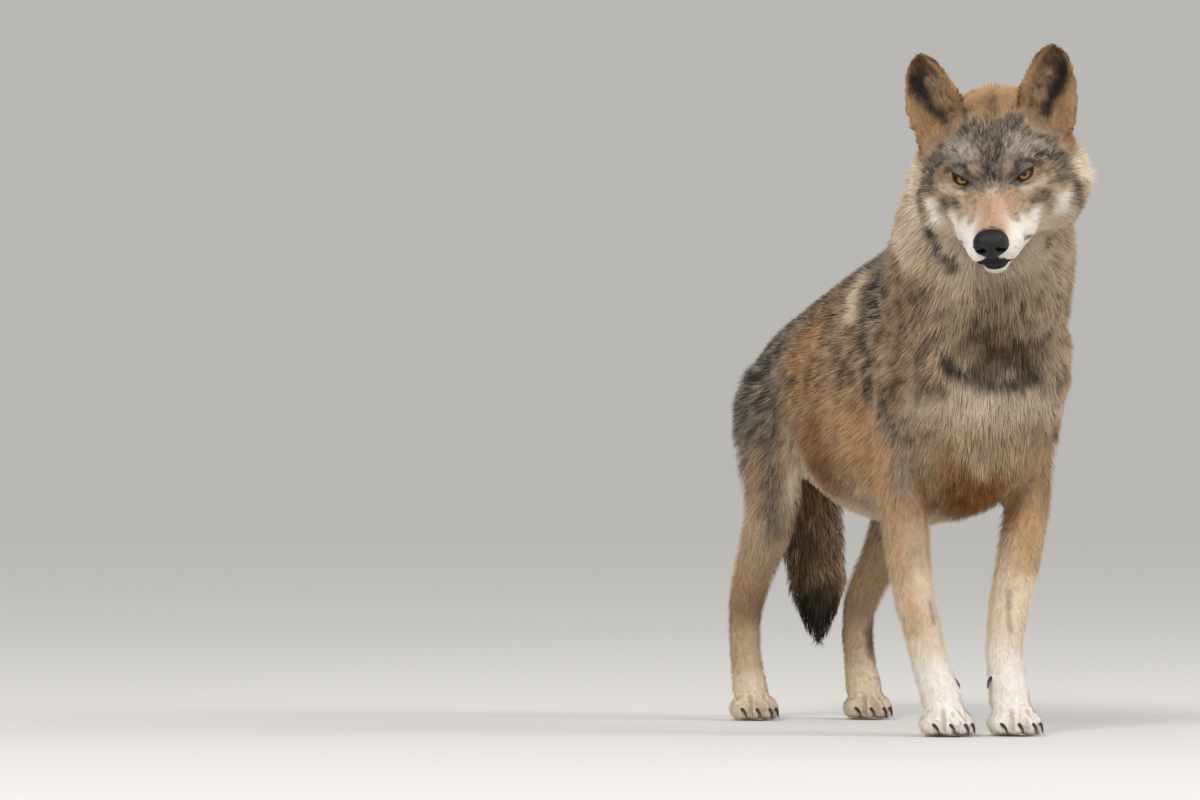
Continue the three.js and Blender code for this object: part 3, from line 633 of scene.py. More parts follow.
BODY_MARKS = [
    ([(-153, -111, 641), (-142, -150, 690)], 30, "cream", .7, .15, 0),
    ([(-88, 60, 665), (-109, 100, 608), (-135, 69, 508), (-135, 60, 459)], 18, "smoke", .75, .85, 1),
    ([(-100, 180, 612), (-122, 157, 565)], 22, "cream", .75, .15, 0),
    ([(100, 185, 610), (122, 157, 560)], 26, "cream", .5, .2, 0),
    ([(-123, 498, 450), (-116, 475, 334), (-99, 506, 257)], 18, "smoke", .7, .6, 1),
    ([(-50, -152, 512), (-22, -132, 490), (32, -118, 496)], 34, "umber", .85, .45, 0),
    ([(-79, -95, 492), (-49, -99, 470), (-11, -107, 463), (44, -102, 473)], 9, "black", .9, .35, 0),
    ([(-103, -50, 430), (-45, -88, 432), (27, -92, 433), (80, -60, 436)], 25, "cream", .6, .2, 0),
    ([(-136, 0, 434), (-115, -13, 385), (-101, -4, 336)], 20, "grey", .55, .5, 0),
    ([(136, 0, 434), (120, -13, 395)], 18, "grey", .35, .5, 0),
    # This russet mark is partly the brisket's own colour and partly painted shade between the forelegs.
    ([(-42, -32, 336), (0, -10, 320), (26, -30, 330)], 27, "russet", .85, .3, 0),
    ([(90, -24, 362), (82, -24, 300), (70, -22, 235)], 24, "gold", .75, .2, 0),
    ([(-125, 24, 336), (-108, 12, 238), (-83, -2, 140)], 11, "gold", .6, .15, 1),
    ([(41, -14, 192), (38, -20, 160), (40, -24, 140)], 4, "smoke", .4, .8, 0),
    ([(-66, -12, 180), (-62, -16, 152)], 4, "smoke", .4, .8, 0),
    ([(20, 745, 420), (26, 742, 330)], 26, "rufous", .6, .4, 0),
    ([(38, 700, 150), (38, 692, 95)], 34, "black", .9, .1, 0),
]
BODY_MARKS += [(gap, 1.7, "tan", .45, .3, 0) for gap in toe_gaps]
# How soft the marks' edges are, and how ragged, as shares of their reach.
BODY_SOFT, HEAD_SOFT, RAGGED = 0.75, 0.6, 0.55
NOISE_SIZE = 32
noise_source = np.random.default_rng(7).random((NOISE_SIZE,) * 3)

def drift(points, size, start=0.0):
    """Smooth noise from -1 to 1, whose bumps are about the given size across, in millimetres."""
    place = points / MM / size + start
    whole = np.floor(place).astype(int)
    part = place - whole
    part = part * part * (3 - 2 * part)
    total = np.zeros(len(points))
    for corner in np.ndindex(2, 2, 2):
        share = np.prod(np.where(corner, part, 1 - part), axis=1)
        total += share * noise_source[tuple(((whole + corner) % NOISE_SIZE).T)]
    return 2 * total - 1

def towards(colour, name, share):
    """The colour, gone a share of the way to one of the hair's colours."""
    return colour + (np.array(HAIR[name]) - colour) * share

def marking(points, normals):
    """The coat's colour and grizzle where its outer surface is at these points."""
    found = coat_at(points)[3].astype(float)
    colour, grizzle = found[:, :3].copy(), found[:, 3].copy()
    ragged = 0.8 * drift(points, 17) + 0.5 * drift(points, 6, 5.5)

    def tint(place, normals, line, reach, name, strength, tips, soft):
        line = np.array(line, float)
        room = 3.2 * reach + 8  # well past the mark, however ragged its edge is
        rows = np.nonzero(((place > line.min(0) - room) & (place < line.max(0) + room)).all(1))[0]
        if not len(rows):
            return
        away = line_distance(place[rows], line, normals[rows])[0] + ragged[rows] * reach * RAGGED
        mask = (strength if np.isscalar(strength) else strength[rows]) * (
            1 - smooth_step(reach * (1 - soft), reach * (1 + soft), away))
        colour[rows] = towards(colour[rows], name, mask[:, None])
        grizzle[rows] += (tips - grizzle[rows]) * mask

    here, at = in_body(points), in_head(points)
    for line, reach, name, strength, tips, paired in BODY_MARKS:
        for side in ((1, -1) if paired else (1,)):
            tint(here, normals, np.array(line) * [side, 1, 1], reach, name, strength, tips, BODY_SOFT)
    turned = normals @ head_axes.T
    facing = smooth_step(0.4, 0.75, -turned[:, 1])
    turned[:, 0] *= np.where(at[:, 0] < 0, -1, 1)
    sheet = mirrored(at)
    for line, reach, name, strength, tips, front in HEAD_MARKS:
        tint(sheet, turned, line, reach, name, strength * facing if front else strength, tips, HEAD_SOFT)
    return colour, grizzle

# Bare rims end softly, between the two distances. The corners of the eye are lines with a reach,
# and the black front of the lip runs in a bow from under the nose down to the mouth; it is partly
# the lips' own black skin and partly painted shade of the mouth.
LID_BARE, LIP_BARE, CORNER_BARE = (2.2, 4.6), (1.6, 3.2), (.6, 1.5)
EYE_CORNERS = [([(30, -20, -3), (27.5, -26, -10)], 3.3), ([(52, -7, 6), (60, 0, 10)], 3.5)]
FRONT_TOP, FRONT_FOOT = -55, -87

def black_skin_and_mouth_shade(points):
    """Where the bare black skin of the eyelids, lips and nose shows, from 0 to 1. The lip's front
    below the nose is partly painted shade of the mouth.
    """
    at = in_head(points)
    sheet = mirrored(at)
    x, y, z = eye_frame(at)
    dark = (1 - smooth_step(*LID_BARE, lid_distance(x, y)[0])) * (z > 0) * (np.hypot(x, y) < 22)
    for line, reach in EYE_CORNERS:
        away, _ = line_distance(sheet, line)
        dark = np.maximum(dark, 1 - smooth_step(*(reach * share for share in CORNER_BARE), away))
    lips, _ = line_distance(sheet, MOUTH)
    dark = np.maximum(dark, (1 - smooth_step(*LIP_BARE, lips)) * (sheet[:, 1] < -26))
    # The lip's front: painted black, partly its own black skin and partly painted shade of the mouth.
    bow = sheet[:, 0] ** 2
    front = smooth_step(0, 4, FRONT_TOP - 0.018 * bow - at[:, 2])
    front = front * smooth_step(0, 2, at[:, 2] - FRONT_FOOT - 0.012 * bow)
    return np.maximum(dark, front * (at[:, 1] < -84))

def paint(data, name, colours):
    """A colour for each point, as an attribute of this name."""
    layer = data.attributes.new(name, "FLOAT_COLOR", "POINT")
    rgba = np.ones((len(colours), 4), np.float32)
    rgba[:, :3] = np.clip(colours, 0, 1)
    layer.data.foreach_set("color", rgba.ravel())

# Under the tufts the hide is painted in the hair's colours, a little darker, as painted shade
# under the coat.
BLACK_SKIN_AND_SHADE, COAT_SHADE_ON_HIDE = linear(34, 30, 29), 0.85
skin_points, skin_normals = places(data), normals_of(data)
skin_depth = coat_at(skin_points)[1].astype(float)
skin_colour, _ = marking(skin_points + skin_normals * skin_depth[:, None], skin_normals)
bare = black_skin_and_mouth_shade(skin_points)[:, None]
# Bare skin takes the black colour, and with it the painted shade of the mouth at the lip's front.
skin_colour = skin_colour * (1 - bare) + np.array(BLACK_SKIN_AND_SHADE) * bare
paint(data, "hair", skin_colour * (COAT_SHADE_ON_HIDE + (1 - COAT_SHADE_ON_HIDE) * bare))

class Wire:
    """A socket's value in a material, on which sums add Math nodes."""
    def __init__(self, sheet, socket):
        self.sheet, self.socket = sheet, socket

    def maths(self, kind, *values):
        return self.sheet.node("ShaderNodeMath", {"operation": kind}, dict(enumerate(values)))

    def __add__(self, other):
        return self.maths("ADD", self, other)

    def __radd__(self, other):
        return self.maths("ADD", other, self)

    def __sub__(self, other):
        return self.maths("SUBTRACT", self, other)

    def __rsub__(self, other):
        return self.maths("SUBTRACT", other, self)

    def __mul__(self, other):
        return self.maths("MULTIPLY", self, other)

    def __rmul__(self, other):
        return self.maths("MULTIPLY", other, self)

class Sheet:
    """The nodes of a material, or of the sky, around its one shader."""
    def __init__(self, name, owners=bpy.data.materials, shader="Principled BSDF", **constants):
        self.owner = owners.new(name)
        self.owner.use_nodes = True
        self.nodes, self.links = self.owner.node_tree.nodes, self.owner.node_tree.links
        self.shader = self.nodes[shader]
        self.feed(**constants)

    def plug(self, socket, value):
        if isinstance(value, Wire):
            self.links.new(value.socket, socket)
        else:
            socket.default_value = value

    def feed(self, **named):
        for key, value in named.items():
            self.plug(self.shader.inputs[key.replace("_", " ")], value)
        return self.owner

    def node(self, kind, settings, sockets, out=0):
        """A node of this type: its settings are made first, and then its sockets, by name or by
        number, get their values or links."""
        made = self.nodes.new(kind)
        for key, value in settings.items():
            if key == "stops":
                bar = made.color_ramp.elements
                while len(bar) < len(value):
                    bar.new(0.5)
                for element, (at, colour) in zip(bar, value):
                    element.position, element.color = at, (*colour, 1.0)
            else:
                setattr(made, key, value)
        for key, value in sockets.items():
            self.plug(made.inputs[key], value)
        return Wire(self, made.outputs[out])

    def attribute(self, name, out="Color"):
        return self.node("ShaderNodeAttribute", {"attribute_name": name}, {}, out)

    def place(self):
        return self.node("ShaderNodeTexCoord", {}, {}, "Object")

    def noise(self, scale, detail=3.0, roughness=0.5, vector=None):
        return self.node("ShaderNodeTexNoise", {}, {
            "Vector": vector or self.place(), "Scale": scale, "Detail": detail, "Roughness": roughness})

    def ramp(self, value, *stops):
        return self.node("ShaderNodeValToRGB", {"stops": stops}, {0: value})

    def multiplied(self, first, second):
        return self.node("ShaderNodeMix", {"data_type": "RGBA", "blend_type": "MULTIPLY"},
                         {0: 1.0, 6: first, 7: second}, 2)

    def bump(self, height, distance, strength=1.0):
        return self.node("ShaderNodeBump", {}, {
            "Height": height, "Distance": distance, "Strength": strength})

hide = Sheet("hide", Roughness=0.8, Specular_IOR_Level=0.25)
streaks = hide.noise(700.0, 4.0, 0.65)
shade = hide.ramp(streaks, (0.3, (0.70, 0.68, 0.66)), (0.7, (1.0, 1.0, 1.0)))
data.materials.append(hide.feed(
    Base_Color=hide.multiplied(hide.attribute("hair"), shade),
    Normal=hide.bump(streaks, 0.0012)))
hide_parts(*FLESH)
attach(skin, "root")

# ---- Eyes -------------------------------------------------------------------------------------
# Two glass eyes: balls with a bulged front, painted with an amber iris, its dark rim and a
# round pupil. They are set behind the lids and look straight at the viewer. Their tops are
# painted darker, as painted shade of the upper lids.
EYE_BULGE = (0.05, 0, 0.22)
SHADE_HEIGHTS, SHADES = [-3.5, 1.5], [1.0, 0.42]
LOOK_AT = body_origin + np.array([-3.746, -9.272, 0.38])

def piece_of(name, mesh):
    """An object of the finished bmesh."""
    data = bpy.data.meshes.new(name)
    mesh.to_mesh(data)
    mesh.free()
    return placed(name, data)

for side, sign in zip(SIDES, (-1, 1)):
    eye_middle = on_head([EYEBALL * [sign, 1, 1]])[0]
    look = LOOK_AT - eye_middle
    look /= np.linalg.norm(look)
    turn = Vector(look).to_track_quat("Z", "Y").to_matrix().to_4x4()
    mesh = bmesh.new()
    bmesh.ops.create_uvsphere(mesh, u_segments=64, v_segments=48, radius=1.0)
    for vert in mesh.verts:
        vert.co *= EYE_RADIUS * MM * (1 + ridge(1 - vert.co.z, *EYE_BULGE))
    bmesh.ops.transform(mesh, matrix=Matrix.Translation(eye_middle) @ turn, verts=mesh.verts)
    eye = piece_of(f"eyeball_{side}", mesh)
    eye.data.shade_smooth()
    from_middle = places(eye.data) - eye_middle
    away = np.clip(from_middle @ look / np.linalg.norm(from_middle, axis=1), -1, 1)
    layer = eye.data.attributes.new("angle", "FLOAT", "POINT")
    layer.data.foreach_set("value", (np.degrees(np.arccos(away)) / 90).astype(np.float32))
    # Painted shade: the ball's colour darkens towards the top, as the shade of the upper lid.
    shaded = np.interp(from_middle[:, 2] / MM, SHADE_HEIGHTS, SHADES)
    paint(eye.data, "shaded", np.repeat(shaded[:, None], 3, axis=1))
    iris = Sheet(f"amber_{side}", Roughness=0.24, Specular_IOR_Level=0.12, Coat_Weight=0.1,
                 Coat_Roughness=0.05)
    rings = iris.attribute("angle", "Fac") + (iris.noise(900.0, 4.0, 0.7) - 0.5) * 0.05
    amber = iris.ramp(
        rings, (0.0, linear(5, 4, 4)), (0.115, linear(7, 5, 4)), (0.14, linear(92, 60, 20)),
        (0.21, linear(158, 108, 38)), (0.31, linear(126, 80, 26)), (0.39, linear(74, 44, 16)),
        (0.45, linear(24, 15, 9)), (0.56, linear(18, 13, 11)))
    eye.data.materials.append(iris.feed(Base_Color=iris.multiplied(amber, iris.attribute("shaded"))))
    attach(eye, "root")
    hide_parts(f"eye_{side}")

# ---- Nose -------------------------------------------------------------------------------------
# A pad of bare black leather, broad and flat on top, pebbled, with a comma-shaped nostril on each
# side and a groove down the middle that runs on into the lip.
SQUARENESS = [0.92, 0.85, 0.88]
NARROWED, MIDDLE_DROP, MIDDLE_GROOVE = 0.20, (5.5, 0, 5.0), (-1.1, 0, 0.9)
NOSTRIL = [(9.5, -13.5, -3.5), (15.0, -10.5, -6.0), (20.5, -3.5, -5.0)]
NOSTRIL_AT, NOSTRIL_WIDE, NOSTRIL_RIM = [9, 14, 21], [3.6, 2.6, 1.6], (0.7, 1.8, 1.6)
SUNK = [0, 7.5, 1.0]
mesh = bmesh.new()
bmesh.ops.create_icosphere(mesh, subdivisions=6, radius=1.0)
unit = np.array([v.co[:] for v in mesh.verts])
front, below = np.clip(-unit[:, 1], 0, 1), np.clip(-unit[:, 2], 0, 1)
shaped = np.sign(unit) * np.abs(unit) ** SQUARENESS * NOSE_RADII
shaped[:, 0] *= 1 - NARROWED * below**1.5
shaped[:, 2] -= ridge(shaped[:, 0], *MIDDLE_DROP) * below**2 * front
sheet = mirrored(shaped)
hole, _ = line_distance(sheet, NOSTRIL)
wide = np.interp(sheet[:, 0], NOSTRIL_AT, NOSTRIL_WIDE)
way = unit / np.linalg.norm(unit, axis=1)[:, None]
shaped += way * ridge(hole - wide, *NOSTRIL_RIM)[:, None]
shaped += (1 - smooth_step(wide * 0.55, wide * 1.25, hole))[:, None] * SUNK
groove = ridge(shaped[:, 0], *MIDDLE_GROOVE) * front * smooth_step(4, -4, shaped[:, 2])
shaped += way * groove[:, None]
for vert, co in zip(mesh.verts, on_head(shaped + NOSE_MIDDLE)):
    vert.co = co
nose = piece_of("nose_leather", mesh)
nose.data.shade_smooth()
leather = Sheet("nose leather", Roughness=0.35, Specular_IOR_Level=0.36)
pebble = leather.node("ShaderNodeTexVoronoi", {"feature": "DISTANCE_TO_EDGE"},
                      {"Vector": leather.place(), "Scale": 900.0})
nose.data.materials.append(leather.feed(
    Base_Color=leather.ramp(leather.noise(160.0), (0.35, linear(8, 7, 8)), (0.7, linear(17, 16, 18))),
    Roughness=0.26 + leather.noise(420.0) * 0.16,
    Normal=leather.bump(pebble, 0.0010, 0.6)))
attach(nose, "root")
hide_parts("nose")

# ---- Claws ------------------------------------------------------------------------------------
# Eighteen blunt black claws of horn, four to a paw and a dewclaw inside each wrist. They are
# rounded off, and their roots are fixed in the hide under the hair.
claw_nodes = sorted(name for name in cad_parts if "claw" in name)
mesh = bmesh.new()
for name in claw_nodes:
    mesh.from_mesh(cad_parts[name].data)
bmesh.ops.remove_doubles(mesh, verts=mesh.verts, dist=1e-5)
claws = piece_of("claws", mesh)
claws.data.shade_smooth()
round_off = claws.modifiers.new("round", "SUBSURF")
round_off.levels = round_off.render_levels = 1
horn = Sheet("claw horn", Roughness=0.38, Specular_IOR_Level=0.45)
layers = horn.noise(260.0, 5.0, 0.7)
claws.data.materials.append(horn.feed(
    Base_Color=horn.ramp(layers, (0.35, linear(26, 23, 22)), (0.75, linear(70, 60, 52))),
    Normal=horn.bump(layers, 0.0006)))
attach(claws, "root")
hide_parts(*claw_nodes)

# ---- Coat -------------------------------------------------------------------------------------
# Eleven pieces of tufts rooted in the hide. Each tuft is a lock of hair, a closed three-sided spike
# that rises from its root and lies back along the body, so that the tips reach the coat's outer
# surface. They are short on the face and feet, and long on the neck, saddle and tail. Those of the
# tail have one ring more, and bend.
skin.data.calc_loop_triangles()
face_corners = rows_of(skin.data.loop_triangles, "vertices", np.int32)
face_points = skin_points[face_corners]
crossed = np.cross(face_points[:, 1] - face_points[:, 0], face_points[:, 2] - face_points[:, 0])
areas = np.linalg.norm(crossed, axis=1) / 2
middles = face_points.mean(1)
_, face_depth, face_length, _ = coat_at(middles)
here, at = in_body(middles), in_head(middles)
sheet = mirrored(at)

# No hair grows on the eyelids' rims, the lips and the soles, or under the nose's pad.
LID_RIM, SOLE = 1.6, 3 * MM
x, y, z = eye_frame(at)
no_hair = (z > -2) & (np.hypot(x, y) < 24) & (lid_distance(x, y)[0] < LID_RIM)
no_hair |= black_skin_and_mouth_shade(middles) > 0.6
no_hair |= in_pad(at, 1.04)
no_hair |= middles[:, 2] < SOLE

# The coat's pieces part by places in the two frames and by the coat's depth.
TAIL_LINE = [(2, 665, 545), (20, 745, 400), (34, 715, 240), (38, 694, 110)]

def within(middle, reach):
    return np.linalg.norm(at - middle, axis=1) < reach

is_ear = (at[:, 2] > 20) & (sheet[:, 0] > 42) & (face_depth < 6.5 * MM) & within([0, 0, 0], 190)
is_face = ~is_ear & within([0, -20, -20], 128) & (at[:, 1] < 52)
is_ruff = ~is_ear & ~is_face & within([0, 60, -20], 178)
free = ~(is_ear | is_face | is_ruff)
is_tail = free & (line_distance(here, TAIL_LINE)[0] < 64) & (here[:, 1] > 655)
free &= ~is_tail
is_fore = free & (here[:, 2] < 400) & (here[:, 1] < 115) & (face_depth < 13 * MM)
is_hind = free & ~is_fore & (here[:, 2] < 400) & (here[:, 1] > 400) & (face_depth < 14.5 * MM)
free &= ~(is_fore | is_hind)
is_neck = free & (here[:, 1] < 30) & (here[:, 2] > 440)
is_front = free & ~is_neck & (here[:, 1] < 190)
is_middle = free & ~is_neck & ~is_front & (here[:, 1] < 400)
is_rear = free & ~is_neck & ~is_front & ~is_middle
is_right = at[:, 0] < 0

def unwrapped(rows):
    """An unwrap of this part of the hide: each triangle's corners on the map."""
    used, back = np.unique(face_corners[rows], return_inverse=True)
    part = mesh_from("unwrap", skin_points[used], back.reshape(-1, 3))
    bpy.context.view_layer.objects.active = part
    part.select_set(True)
    bpy.ops.object.mode_set(mode="EDIT")
    bpy.ops.mesh.select_all(action="SELECT")
    bpy.ops.uv.smart_project(angle_limit=1.1, island_margin=0.004)
    bpy.ops.object.mode_set(mode="OBJECT")
    flat = rows_of(part.data.uv_layers.active.data, "uv", width=2)
    unwrap = part.data
    bpy.data.objects.remove(part)
    bpy.data.meshes.remove(unwrap)
    return flat.reshape(-1, 3, 2)

def lock_faces(rings):
    """A lock's triangles between rings of three points and the tip, their corners' places on the
    lock's own patch of the map, and whether they face the hide."""
    faces, spots, beneath = [], [], []

    def face(*corners):
        faces.append([ring * 3 + turn % 3 if ring < rings else rings * 3 for ring, turn in corners])
        spots.append([
            ((turn + (0.5 if ring == rings else 0)) / 3, ring / rings) for ring, turn in corners])
        beneath.append(min(turn for ring, turn in corners) == 1)

    for ring in range(rings - 1):
        for turn in range(3):
            face((ring, turn), (ring, turn + 1), (ring + 1, turn + 1))
            face((ring, turn), (ring + 1, turn + 1), (ring + 1, turn))
    for turn in range(3):
        face((rings - 1, turn), (rings - 1, turn + 1), (rings, turn))
    faces.append([0, 2, 1])
    spots.append([(0, 0), (0.66, 0.1), (0.33, 0.3)])
    beneath.append(True)
    return np.array(faces), np.array(spots), np.array(beneath)

def unit_rows(vectors):
    return vectors / np.linalg.norm(vectors, axis=-1)[..., None]

def lock_width(length):
    return (0.30 + 0.045 * length / MM) * MM

# How the locks vary, as shares of a lock's own length, width or the coat's depth, and how far a
# root is under the hide. A patch of the map is a lock's own. No tip leaves the solids' box.
CLUMP_SWIRL, LOCK_SWIRL, SWAY = 0.30, 0.13, 0.06
SHORTEST, LONGEST, CLUMP_LENGTH = 0.75, 1.12, 0.10
RISE, RISE_SPREAD, CLUMP_RISE, LOWEST, HIGHEST, STEEPEST = 0.84, 0.13, 0.12, 0.35, 1.04, 0.82
THINNEST, THICKEST, THICKNESS, GIRTHS = 0.7, 1.25, 0.55, {1: (1.0,), 2: (0.75, 1.0)}
ROOTED, PATCH, INSIDE = 0.6 * MM, 0.003, 0.4 * MM
BOX_LOW, BOX_HIGH = cad_low + INSIDE, cad_high - INSIDE
fur = Sheet("coat", Roughness=0.72, Specular_IOR_Level=0.22)
hairs = fur.noise(3.0, 2.0, 0.6, fur.attribute("strand", "Vector"))
shade = fur.ramp(hairs, (0.3, (0.74, 0.72, 0.70)), (0.7, (1, 1, 1)))
fur.feed(Base_Color=fur.multiplied(fur.attribute("hair"), shade), Roughness=0.66 + hairs * 0.16)

def lock_colours(rng, root, felt, up, length, bunch, seed):
    """Each lock's colour and its tip's. Where the coat is grizzled some locks are pale and some
    dark, in flecks, and the tips are dark."""
    colour, grizzle = marking(felt, up)
    uneven = rng.normal(0, 0.10, len(root)) + 0.16 * drift(root, 30, seed)
    colour = colour * np.exp(uneven)[:, None]
    grizzle = grizzle[:, None]
    clumped = np.interp(length.mean() / MM, [11, 22], [0.85, 1.15])
    fleck = clumped * drift(root, max(bunch * 0.6, 3.5), seed + 8.1)
    fleck = (fleck + rng.normal(0, 0.80 - 0.38 * clumped, len(root)))[:, None]
    dark = smooth_step(0.25, 0.9, fleck + grizzle * 0.9 - 0.25) * np.clip(grizzle * 1.5, 0, 1)
    pale = smooth_step(0.2, 1.1, -fleck) * np.clip(grizzle * 1.1, 0, 0.75)
    colour = towards(towards(colour, "cream", pale * 0.8), "black", dark * 0.7)
    return colour, towards(colour, "black", np.clip(dark * 0.9 + 0.25 * grizzle, 0, 0.92))

def rooted(rng, rows, count):
    """The locks' roots, spread so that they cover the hide evenly, their places on the map, and the
    hide's normals there."""
    flat = unwrapped(rows)
    hairy = np.nonzero(~no_hair[rows])[0]
    covered = face_length[rows[hairy]] * lock_width(face_length[rows[hairy]])
    share = areas[rows[hairy]] / covered
    picked = hairy[rng.choice(len(hairy), count, p=share / share.sum())]
    mix = rng.dirichlet((1, 1, 1), count)[:, :, None]
    root = (face_points[rows[picked]] * mix).sum(1)
    spot = (flat[picked] * mix).sum(1)
    return root, spot, unit_rows((skin_normals[face_corners[rows[picked]]] * mix).sum(1))

def spikes(path, up, width):
    """The locks' points, ring by ring and then the tip, and the normals that they shade by. The
    rings around a path are flat."""
    rings = path.shape[1] - 1
    axis = unit_rows(np.gradient(path, axis=1))
    out = unit_rows(up[:, None, :] - axis * (up[:, None, :] * axis).sum(2)[:, :, None])
    cross = np.cross(out, axis)
    points, normals = [], []
    for ring, girth in enumerate(GIRTHS[rings]):
        half = (width * girth / 2)[:, None]
        for turn in range(3):
            angle = math.pi / 2 + turn * 2 * math.pi / 3
            flank, top = math.cos(angle), THICKNESS * math.sin(angle)
            points.append(path[:, ring] + (cross[:, ring] * flank + out[:, ring] * top) * half)
            normals.append(out[:, ring] * (0.9 + 0.3 * top) + cross[:, ring] * flank * 0.45)
    points = np.stack(points + [path[:, rings]], 1)
    normals = unit_rows(np.stack(normals + [out[:, rings]], 1))
    return np.clip(points, BOX_LOW, BOX_HIGH), normals

def coat(name, where, count, seed, rings=1):
    """One piece of the coat, with a count of locks."""
    rng = np.random.default_rng(seed)
    root, spot, up = rooted(rng, np.nonzero(where)[0], count)
    way, depth, length = (found.astype(float) for found in coat_at(root)[:3])

    # Hair parts into clumps: the way turns a little from clump to clump, and more from lock to lock.
    bunch = np.clip(length.mean() / MM * 0.5, 4, 26)
    swirl = (CLUMP_SWIRL * drift(root, bunch, seed) + rng.normal(0, LOCK_SWIRL, count))[:, None]
    way = unit_rows(way - up * (way * up).sum(1)[:, None])
    way = way * np.cos(swirl) + np.cross(up, way) * np.sin(swirl)
    aside = np.cross(up, way)
    clump = drift(root, bunch * 0.8, seed + 3.3)
    length = length * rng.uniform(SHORTEST, LONGEST, count) * (1 + CLUMP_LENGTH * clump)
    rise = rng.normal(RISE, RISE_SPREAD, count) + CLUMP_RISE * clump
    rise = np.minimum(depth * np.clip(rise, LOWEST, HIGHEST), length * STEEPEST)
    run = np.sqrt(length**2 - rise**2)
    width = lock_width(length) * rng.uniform(THINNEST, THICKEST, count)
    sway = rng.normal(0, SWAY, count) * length

    # The path starts under the hide and bends over towards the tip.
    shares = np.linspace(0, 1, rings + 1)
    path = []
    for t in shares:
        height = rise * (1 - (1 - t) ** 1.7) - (1 - t) * ROOTED
        path.append(root + up * height[:, None] + way * (run * t**1.15)[:, None]
                    + aside * (sway * t * t)[:, None])
    points, normals = spikes(np.stack(path, 1), up, width)

    felt = root + up * (rise * 0.85)[:, None] + way * (run * 0.45)[:, None]
    colour, tip_colour = lock_colours(rng, root, felt, up, length, bunch, seed)

    # Roots are darker, most where the hair itself is dark: painted shade deep in the coat, which pale
    # hair lets more light into.
    painted_root_shade = np.interp(colour @ [0.25, 0.6, 0.15], [0.08, 0.55], [0.60, 0.88])[:, None]
    shades = [colour * painted_root_shade * (0.85 if rings > 1 else 1.0)] + [colour] * (rings - 1)
    colours = np.stack([shade for shade in shades for _ in range(3)] + [tip_colour * 1.02], 1)

    # Each lock's patch of the map is at its root's place on the unwrap. The strand runs along a lock
    # and differs from lock to lock, for the shade of its fine hairs. The normals are the coat's
    # rather than the spike's, so that locks shade together.
    faces, spots, beneath = lock_faces(rings)
    size, order = rings * 3 + 1, np.arange(count)[:, None]
    made = mesh_from(name, points.reshape(-1, 3), (faces.ravel() + order * size).reshape(-1, 3))
    made.data.shade_smooth()
    paint(made.data, "hair", colours.reshape(-1, 3))
    place = np.clip(spot, PATCH, 1 - PATCH)[:, None, :] + (spots.reshape(-1, 2)[None] - 0.5) * PATCH
    layer = made.data.uv_layers.new(name="OFBake")
    layer.data.foreach_set("uv", place.astype(np.float32).ravel())
    strand = np.zeros((count, size, 3), np.float32)
    strand[:, :, 0] = np.array([0, 1.0, 2.0] * rings + [1.0]) + order % 997
    strand[:, :, 1] = np.repeat(shares, [3] * rings + [1]) * 1.2
    strand[:, :, 2] = order // 997 * 3.0
    made.data.attributes.new("strand", "FLOAT_VECTOR", "POINT").data.foreach_set("vector", strand.ravel())
    turned = normals[:, faces]
    up = up[:, None, None, :]
    turned[:, beneath] -= 2 * (turned[:, beneath] * up).sum(3)[..., None] * up
    made.data.normals_split_custom_set(turned.reshape(-1, 3).astype(np.float32))
    made.data.materials.append(fur.owner)
    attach(made, "root")

# Each piece with its count of locks and its seed.
coat("coat_face_right", is_face & is_right, 36000, 1)
coat("coat_face_left", is_face & ~is_right, 36000, 2)
coat("coat_ears", is_ear, 20000, 3)
coat("coat_ruff", is_ruff, 46000, 4)
coat("coat_neck", is_neck, 42000, 5)
coat("coat_front", is_front, 40000, 6)
coat("coat_middle", is_middle, 38000, 7)
coat("coat_rear", is_rear, 38000, 8)
coat("coat_forelegs", is_fore, 32000, 9)
coat("coat_hindlegs", is_hind, 32000, 10)
coat("coat_tail", is_tail, 7000, 11, rings=2)

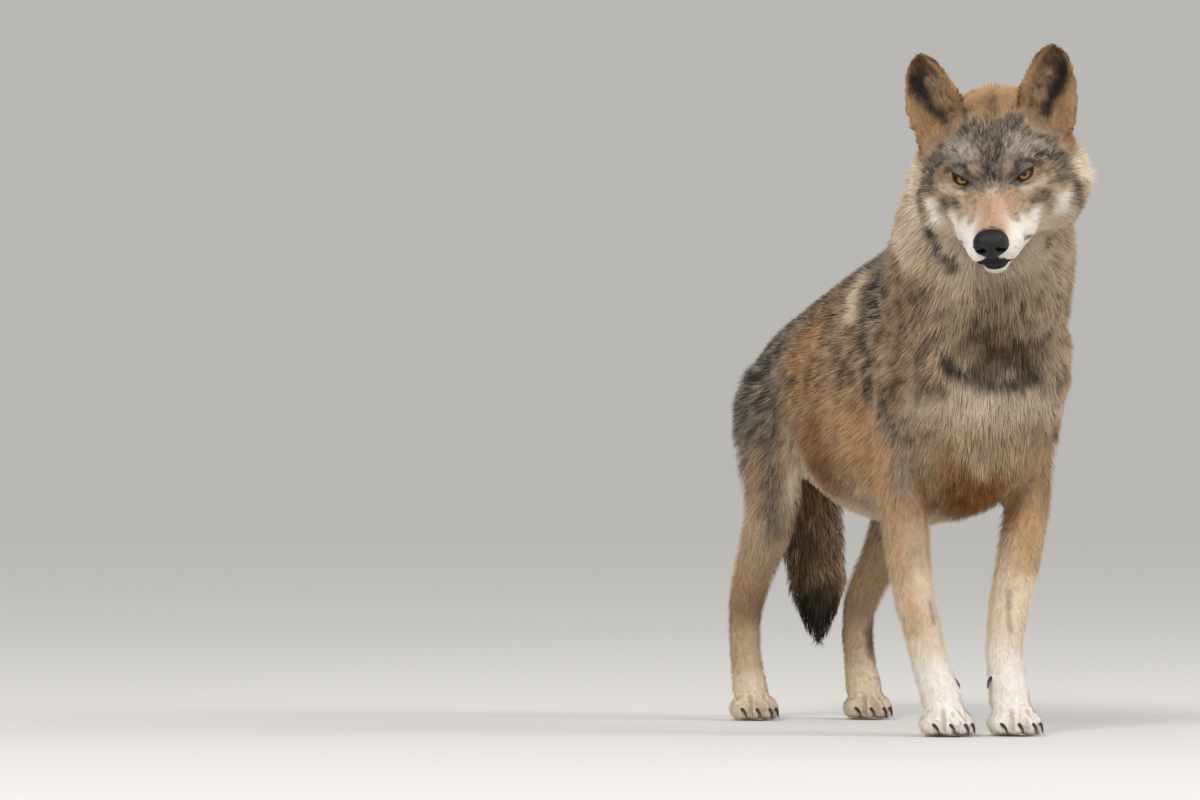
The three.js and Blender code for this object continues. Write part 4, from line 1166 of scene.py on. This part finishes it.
# ---- Floor, lights and camera -----------------------------------------------------------------
# A wide pale floor of matt paper, three soft panels and an even sky. The camera looks from ahead
# and a little to the wolf's right, from 10 m away, so that near and far parts keep their sizes.
PAPER = np.array(linear(196, 193, 188))
mesh = bmesh.new()
bmesh.ops.create_grid(mesh, x_segments=1, y_segments=1, size=60.0)
floor = piece_of("floor", mesh)
paper = Sheet("paper", Roughness=1.0, Specular_IOR_Level=0.0)
floor.data.materials.append(paper.feed(Base_Color=(*PAPER, 1)))

def aimed(made, place, at):
    made.location = place
    made.rotation_euler = (at - place).to_track_quat("-Z", "Y").to_euler()

AIM_LEFT, AIM_UP = 0.500, 0.4456
CAMERA_TURN, CAMERA_AWAY, CAMERA_HEIGHT = math.radians(-22), 10.0, 0.38
from_x, from_y = math.sin(CAMERA_TURN), -math.cos(CAMERA_TURN)
feet = Vector(body_origin)
camera = placed("camera", bpy.data.cameras.new("camera"))
camera.data.lens = 225.6
camera.data.sensor_width = 36.0
camera.data.clip_end = 100.0
aimed(camera, feet + Vector((CAMERA_AWAY * from_x, CAMERA_AWAY * from_y, CAMERA_HEIGHT)),
      feet + Vector((AIM_LEFT * from_y, -AIM_LEFT * from_x, AIM_UP)))
bpy.context.scene.camera = camera

# Each panel: its place from the feet, its width across and its power in watts.
for name, place, size, power in (
        ("key", (-4.8, -5.8, 5.8), 3.2, 550), ("fill", (5.1, -3.5, 3.5), 4.0, 260),
        ("front", (-3.5, -8.6, 1.5), 4.0, 135)):
    lamp = placed(name, bpy.data.lights.new(name, "AREA"))
    lamp.data.shape = "DISK"
    lamp.data.size = size
    lamp.data.energy = power
    aimed(lamp, feet + Vector(place), feet + Vector((0, 0, 0.4)))

# The sky is even. Where it is seen, it has the floor's own shade, so that no horizon shows.
SKY = np.array([0.882, 0.8925, 0.9135])
sky = Sheet("sky", bpy.data.worlds, "Background", Color=(*SKY, 1))
bpy.context.scene.world = sky.owner
seen = sky.node("ShaderNodeBackground", {}, {"Color": (*(SKY * PAPER), 1)})
to_camera, to_gloss = (
    sky.node("ShaderNodeLightPath", {}, {}, f"Is {ray} Ray") for ray in ("Camera", "Glossy"))
either = to_camera.maths("MAXIMUM", to_camera, to_gloss)
lighting = Wire(sky, sky.shader.outputs[0])
both = sky.node("ShaderNodeMixShader", {}, {0: either, 1: lighting, 2: seen})
sky.links.new(both.socket, sky.nodes["World Output"].inputs["Surface"])
bpy.context.scene.view_settings.view_transform = "Standard"
